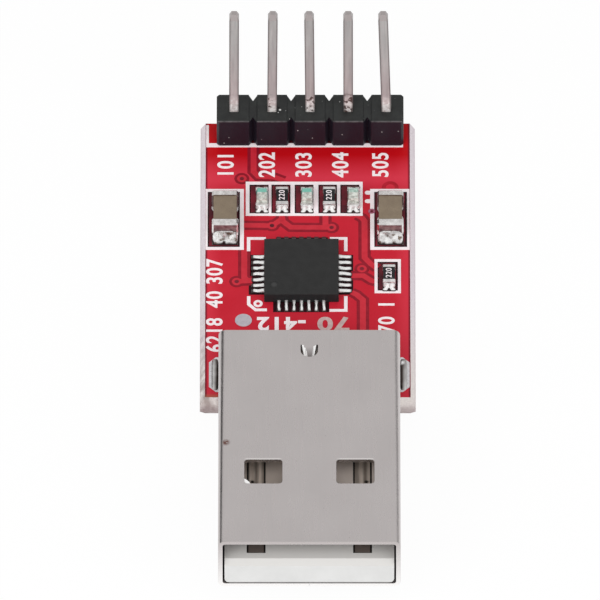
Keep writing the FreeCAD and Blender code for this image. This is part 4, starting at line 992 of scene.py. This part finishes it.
def slot_solder():
    """A dome of solder beside each of the plug's legs, inside its land's bright rim."""
    mesh = bmesh.new()
    low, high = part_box("leg_plating")
    rim = 0.16 * MM

    def dome(u, v):
        ends = max(0.0, 1 - (2 * v - 1) ** 4) ** 0.5
        return 0.14 * max(0.0, 1 - u * u) ** 0.5 * ends, 0.0, 0.55 + 0.45 * ends

    for side, edge, wall in ((1, low.x, SHELL_LOW.x), (-1, high.x, SHELL_HIGH.x)):
        outer = edge + side * rim
        base = Vector(((outer + wall) / 2, low.y + rim, high.z))
        lump(mesh, base, RIGHT, REARWARD, abs(wall - outer), high.y - low.y - 2 * rim, dome, (12, 24))
    piece("slot_solder_domes", mesh, slot_solder_paint(), smooth=True)


def tab_webs():
    """Sheared flanks between the lock tab and the hole round it, near white with painted glint."""
    mesh = bmesh.new()
    top = SHELL_HIGH.z - 0.02 * MM
    rear = SHELL_HIGH.y - SHELL_BACK - TAB_BACK * MM
    thickness = Vector((0, 0, 0.03 * MM))
    # From the centre line to the side, both sides' shift, forward from the tab's root, and down.
    flank = (
        (0.48, -0.02, 0.0, 0.0),
        (0.32, -0.02, 1.05, 0.0),
        (0.12, 0.02, 1.05, 0.26),
        (0.25, 0.02, 0.0, 0.02),
    )
    for side in (-1, 1):
        upper = [
            Vector((PLUG_X + (side * across + shift) * MM, rear - ahead * MM, top - down * MM))
            for across, shift, ahead, down in flank[::-side]
        ]
        prism(mesh, [place - thickness for place in upper], upper)
    piece("lock_tab_flanks", mesh, SHEARED_AND_GLINT)


def window_burr():
    """A burr that the punch left in the front corner of the left window, near white with painted glint."""
    mesh = bmesh.new()
    left = PLUG_X - WINDOW_REACH[1] * MM
    front = SHELL_LOW.y + WINDOW_NEAR * MM
    places = [(-0.05, -0.02), (0.43, -0.02), (0.38, 0.16), (0.19, 0.36), (-0.05, 0.52)]
    levels = (SHELL_HIGH.z - 0.14 * MM, SHELL_HIGH.z - 0.05 * MM)
    prism(mesh, *([(left + x * MM, front + y * MM, z) for x, y in places] for z in levels))
    piece("window_burr", mesh, SHEARED_AND_GLINT)


def marked_resistors():
    """The plain figures on the resistors' black coats."""
    mesh = bmesh.new()
    for name in ("resistor_1", "resistor_2", "resistor_3"):
        low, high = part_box(f"{name}_coat")
        top = (high.z - FACE) / MM
        x = ((low.x + high.x) / 2 - CENTRE_X) / MM
        back = (BOARD_HIGH.y - (low.y + high.y) / 2) / MM
        figures(mesh, "220", x, back, 0.54, 90, (top - 0.004, top + 0.004), bold=0.01)
    piece("resistor_figures", mesh, INK_PAINT)


def dress_nodes():
    """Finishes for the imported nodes."""
    plating = metal_paint("tinned_copper", (206, 204, 206), (226, 224, 226), 0.32)
    leads = metal_paint("lead_tin", (205, 204, 206), (226, 226, 228), 0.25)
    caps = metal_paint("end_cap_tin", (200, 196, 196), (240, 238, 237), 0.22, metallic=0.8)
    big_caps = big_cap_paint()
    # The top front edge of the header, where its painted highlight runs.
    rim = Vector((0, STRIP_LOW.y, STRIP_HIGH.z))
    # The moulding is nicked to the right of the second pin.
    by_second_pin = STRIP_LOW.x + (END_BLOCK + PIN_PITCH + 0.43) * MM
    nick = Vector((by_second_pin, (STRIP_LOW.y + STRIP_HIGH.y) / 2 + 0.04 * MM, 0))
    strip = black_plastic(
        "header_plastic", (39, 40, 40), (49, 51, 50), (33, 29, 38), 0.42, specks=0.9, rim=rim, nick=nick
    )
    chip_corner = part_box("serial_chip")[0]
    chip = black_plastic("chip_compound", (43, 43, 43), (48, 48, 48), (38, 40, 41), 0.62, dimple=chip_corner)
    coat = plain_paint("resistor_glass", (16, 17, 20), (28, 29, 33), 3.0, 0.3, Specular_IOR_Level=0.3)
    slab = plain_paint("resistor_ceramic", (208, 208, 204), (228, 228, 226), 3.0, 0.5, 0.004)
    base = plain_paint("diode_base", (206, 204, 190), (226, 224, 212), 3.0, 0.5, 0.004)
    skin("circuit_board", MASK)
    skin("plug_shell", shell_paint())
    skin("plug_insulator", moulding_paint())
    skin("header_strip", strip)
    skin("serial_chip", chip)
    for name in ("header_plating", "contact_plating", "leg_plating"):
        skin(name, plating)
    skin("surface_lands", land_paint())
    for name in ("header_solder", "contact_solder", "leg_solder"):
        skin(name, SOLDER)
        soften(name, 0.10, 20)
    for n in range(1, 6):
        skin(f"header_pin_{n}", pin_paint(n))
    for n in range(1, 5):
        skin(f"plug_contact_{n}", contact_paint(n))
    skin("chip_leads", leads)
    for name in SMALL_PARTS + BIG_PARTS:
        skin(f"{name}_ends", big_caps if name in BIG_PARTS else caps)
        soften(f"{name}_ends", 0.05 if name in BIG_PARTS else 0.025, 30)
    for name in BIG_PARTS:
        skin(name, CERAMIC)
    for n in range(1, 4):
        skin(f"resistor_{n}", slab)
        skin(f"resistor_{n}_coat", coat)
        skin(f"diode_{n}", base)
        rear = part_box(f"diode_{n}_lens")[1].y
        skin(f"diode_{n}_lens", lens_paint(f"diode_lens_{n}", rear, 0.4 if n == 3 else 0.95))
    soften("header_strip", 0.07, 30)
    soften("plug_shell", 0.04, 60)
    soften("serial_chip", 0.03, 40)


# The floor's grey, and how much of the white over it shows to the camera and in reflections.
FLOOR_GREY = 0.98
WHITE_SHARE = 0.95
FLOOR_REACH = 3.0
SURROUND_LIGHT = 0.55
# The lamps: place, size and power.
LAMPS = {
    "key": ((-0.17, -0.22, 0.22), 0.22, 0.50),
    "fill": ((0.20, -0.20, 0.18), 0.20, 0.30),
    "top": ((0.02, -0.19, 0.32), 0.20, 0.30),
}


def studio_floor():
    """A white floor that keeps a soft shadow and is clear from below."""
    mesh = bpy.data.meshes.new("floor")
    corners = [(x * FLOOR_REACH, y * FLOOR_REACH, 0) for x, y in ((-1, -1), (1, -1), (1, 1), (-1, 1))]
    mesh.from_pydata(corners, [], [(0, 1, 2, 3)])
    made = add("floor", mesh)
    made.location.z = -0.02 * MM
    material = bpy.data.materials.new("floor")
    material.use_nodes = True
    material.node_tree.nodes.clear()
    nodes = Nodes(material.node_tree)
    lit = nodes.node("ShaderNodeBsdfDiffuse", {"Color": (FLOOR_GREY, FLOOR_GREY, FLOOR_GREY, 1)})
    glow = nodes.node("ShaderNodeEmission", {"Strength": 1.0})
    share = nodes.times(nodes.rays("Is Camera Ray", "Is Glossy Ray"), WHITE_SHARE)
    below = nodes.node("ShaderNodeNewGeometry").outputs["Backfacing"]
    sides = nodes.blend(below, nodes.blend(share, lit, glow), nodes.node("ShaderNodeBsdfTransparent"))
    nodes.node("ShaderNodeOutputMaterial", {"Surface": sides.outputs[0]})
    mesh.materials.append(material)


def surround():
    """A surround that lights the part softly, and that the camera, reflections and glass see as white."""
    world = bpy.data.worlds.new("studio")
    bpy.context.scene.world = world
    world.use_nodes = True
    world.node_tree.nodes.clear()
    nodes = Nodes(world.node_tree)
    ambient = nodes.node("ShaderNodeBackground", {"Strength": SURROUND_LIGHT})
    white = nodes.node("ShaderNodeBackground", {"Strength": 1.0})
    seen = nodes.rays("Is Camera Ray", "Is Glossy Ray", "Is Transmission Ray")
    shown = nodes.blend(seen, ambient, white)
    nodes.node("ShaderNodeOutputWorld", {"Surface": shown.outputs[0]})


def lamps():
    """Three soft lamps that reflections don't see."""
    for name, (place, size, power) in LAMPS.items():
        light = bpy.data.lights.new(name, "AREA")
        light.size = size
        light.energy = power
        lamp = add(name, light)
        lamp.location = place
        lamp.visible_glossy = False
        lamp.rotation_euler = (-Vector(place)).to_track_quat("-Z", "Y").to_euler()


# The cards' distance from the part, and the azimuth behind it and elevation of their corners, in degrees.
CARD_DISTANCE = 0.5
CARD_CORNERS = ((22, 3), (74, 3), (74, 26), (22, 26))


def dark_cards():
    """Two dark cards low behind the part. Only reflections see them, as dark lines along the folds."""
    for name, side, grey in (("card_left", -1, 0.03), ("card_right", 1, 0.60)):
        mesh = bpy.data.meshes.new(name)
        places = []
        for azimuth, elevation in CARD_CORNERS:
            turn = math.radians(azimuth)
            rise = math.radians(elevation)
            flat = math.cos(rise)
            way = Vector((side * flat * math.sin(turn), flat * math.cos(turn), math.sin(rise)))
            places.append(way * CARD_DISTANCE)
        mesh.from_pydata(places, [], [(0, 1, 2, 3)])
        paint = Paint(name, Base_Color=(grey, grey, grey, 1), Specular_IOR_Level=0.0)
        mesh.materials.append(paint.material)
        card = add(name, mesh)
        card.visible_camera = False
        card.visible_diffuse = False
        card.visible_shadow = False


# The camera looks along +Y and down, from far enough away to show almost no perspective.
ELEVATION = math.radians(48.7)
DISTANCE = 1.8
SENSOR = 36.0
PIXELS_PER_MM = 15.06
PICTURE = 600
TARGET = Vector((-0.515, 4.476, 3.0)) * MM


def camera():
    """The photograph's view."""
    data = bpy.data.cameras.new("camera")
    data.sensor_width = SENSOR
    data.lens = SENSOR * PIXELS_PER_MM * DISTANCE / MM / PICTURE
    data.clip_start = 0.1
    data.clip_end = 10.0
    made = add("camera", data)
    back = Vector((0, -math.cos(ELEVATION), math.sin(ELEVATION)))
    made.location = TARGET + back * DISTANCE
    made.rotation_euler = (-back).to_track_quat("-Z", "Y").to_euler()
    bpy.context.scene.camera = made


bpy.context.scene.view_settings.view_transform = "Standard"
camera()
studio_floor()
surround()
lamps()
dark_cards()
dress_nodes()
etched_face()
bare_fields()
silkscreen()
surface_solder()
side_flecks()
chip_solder()
slot_solder()
tab_webs()
window_burr()
marked_resistors()
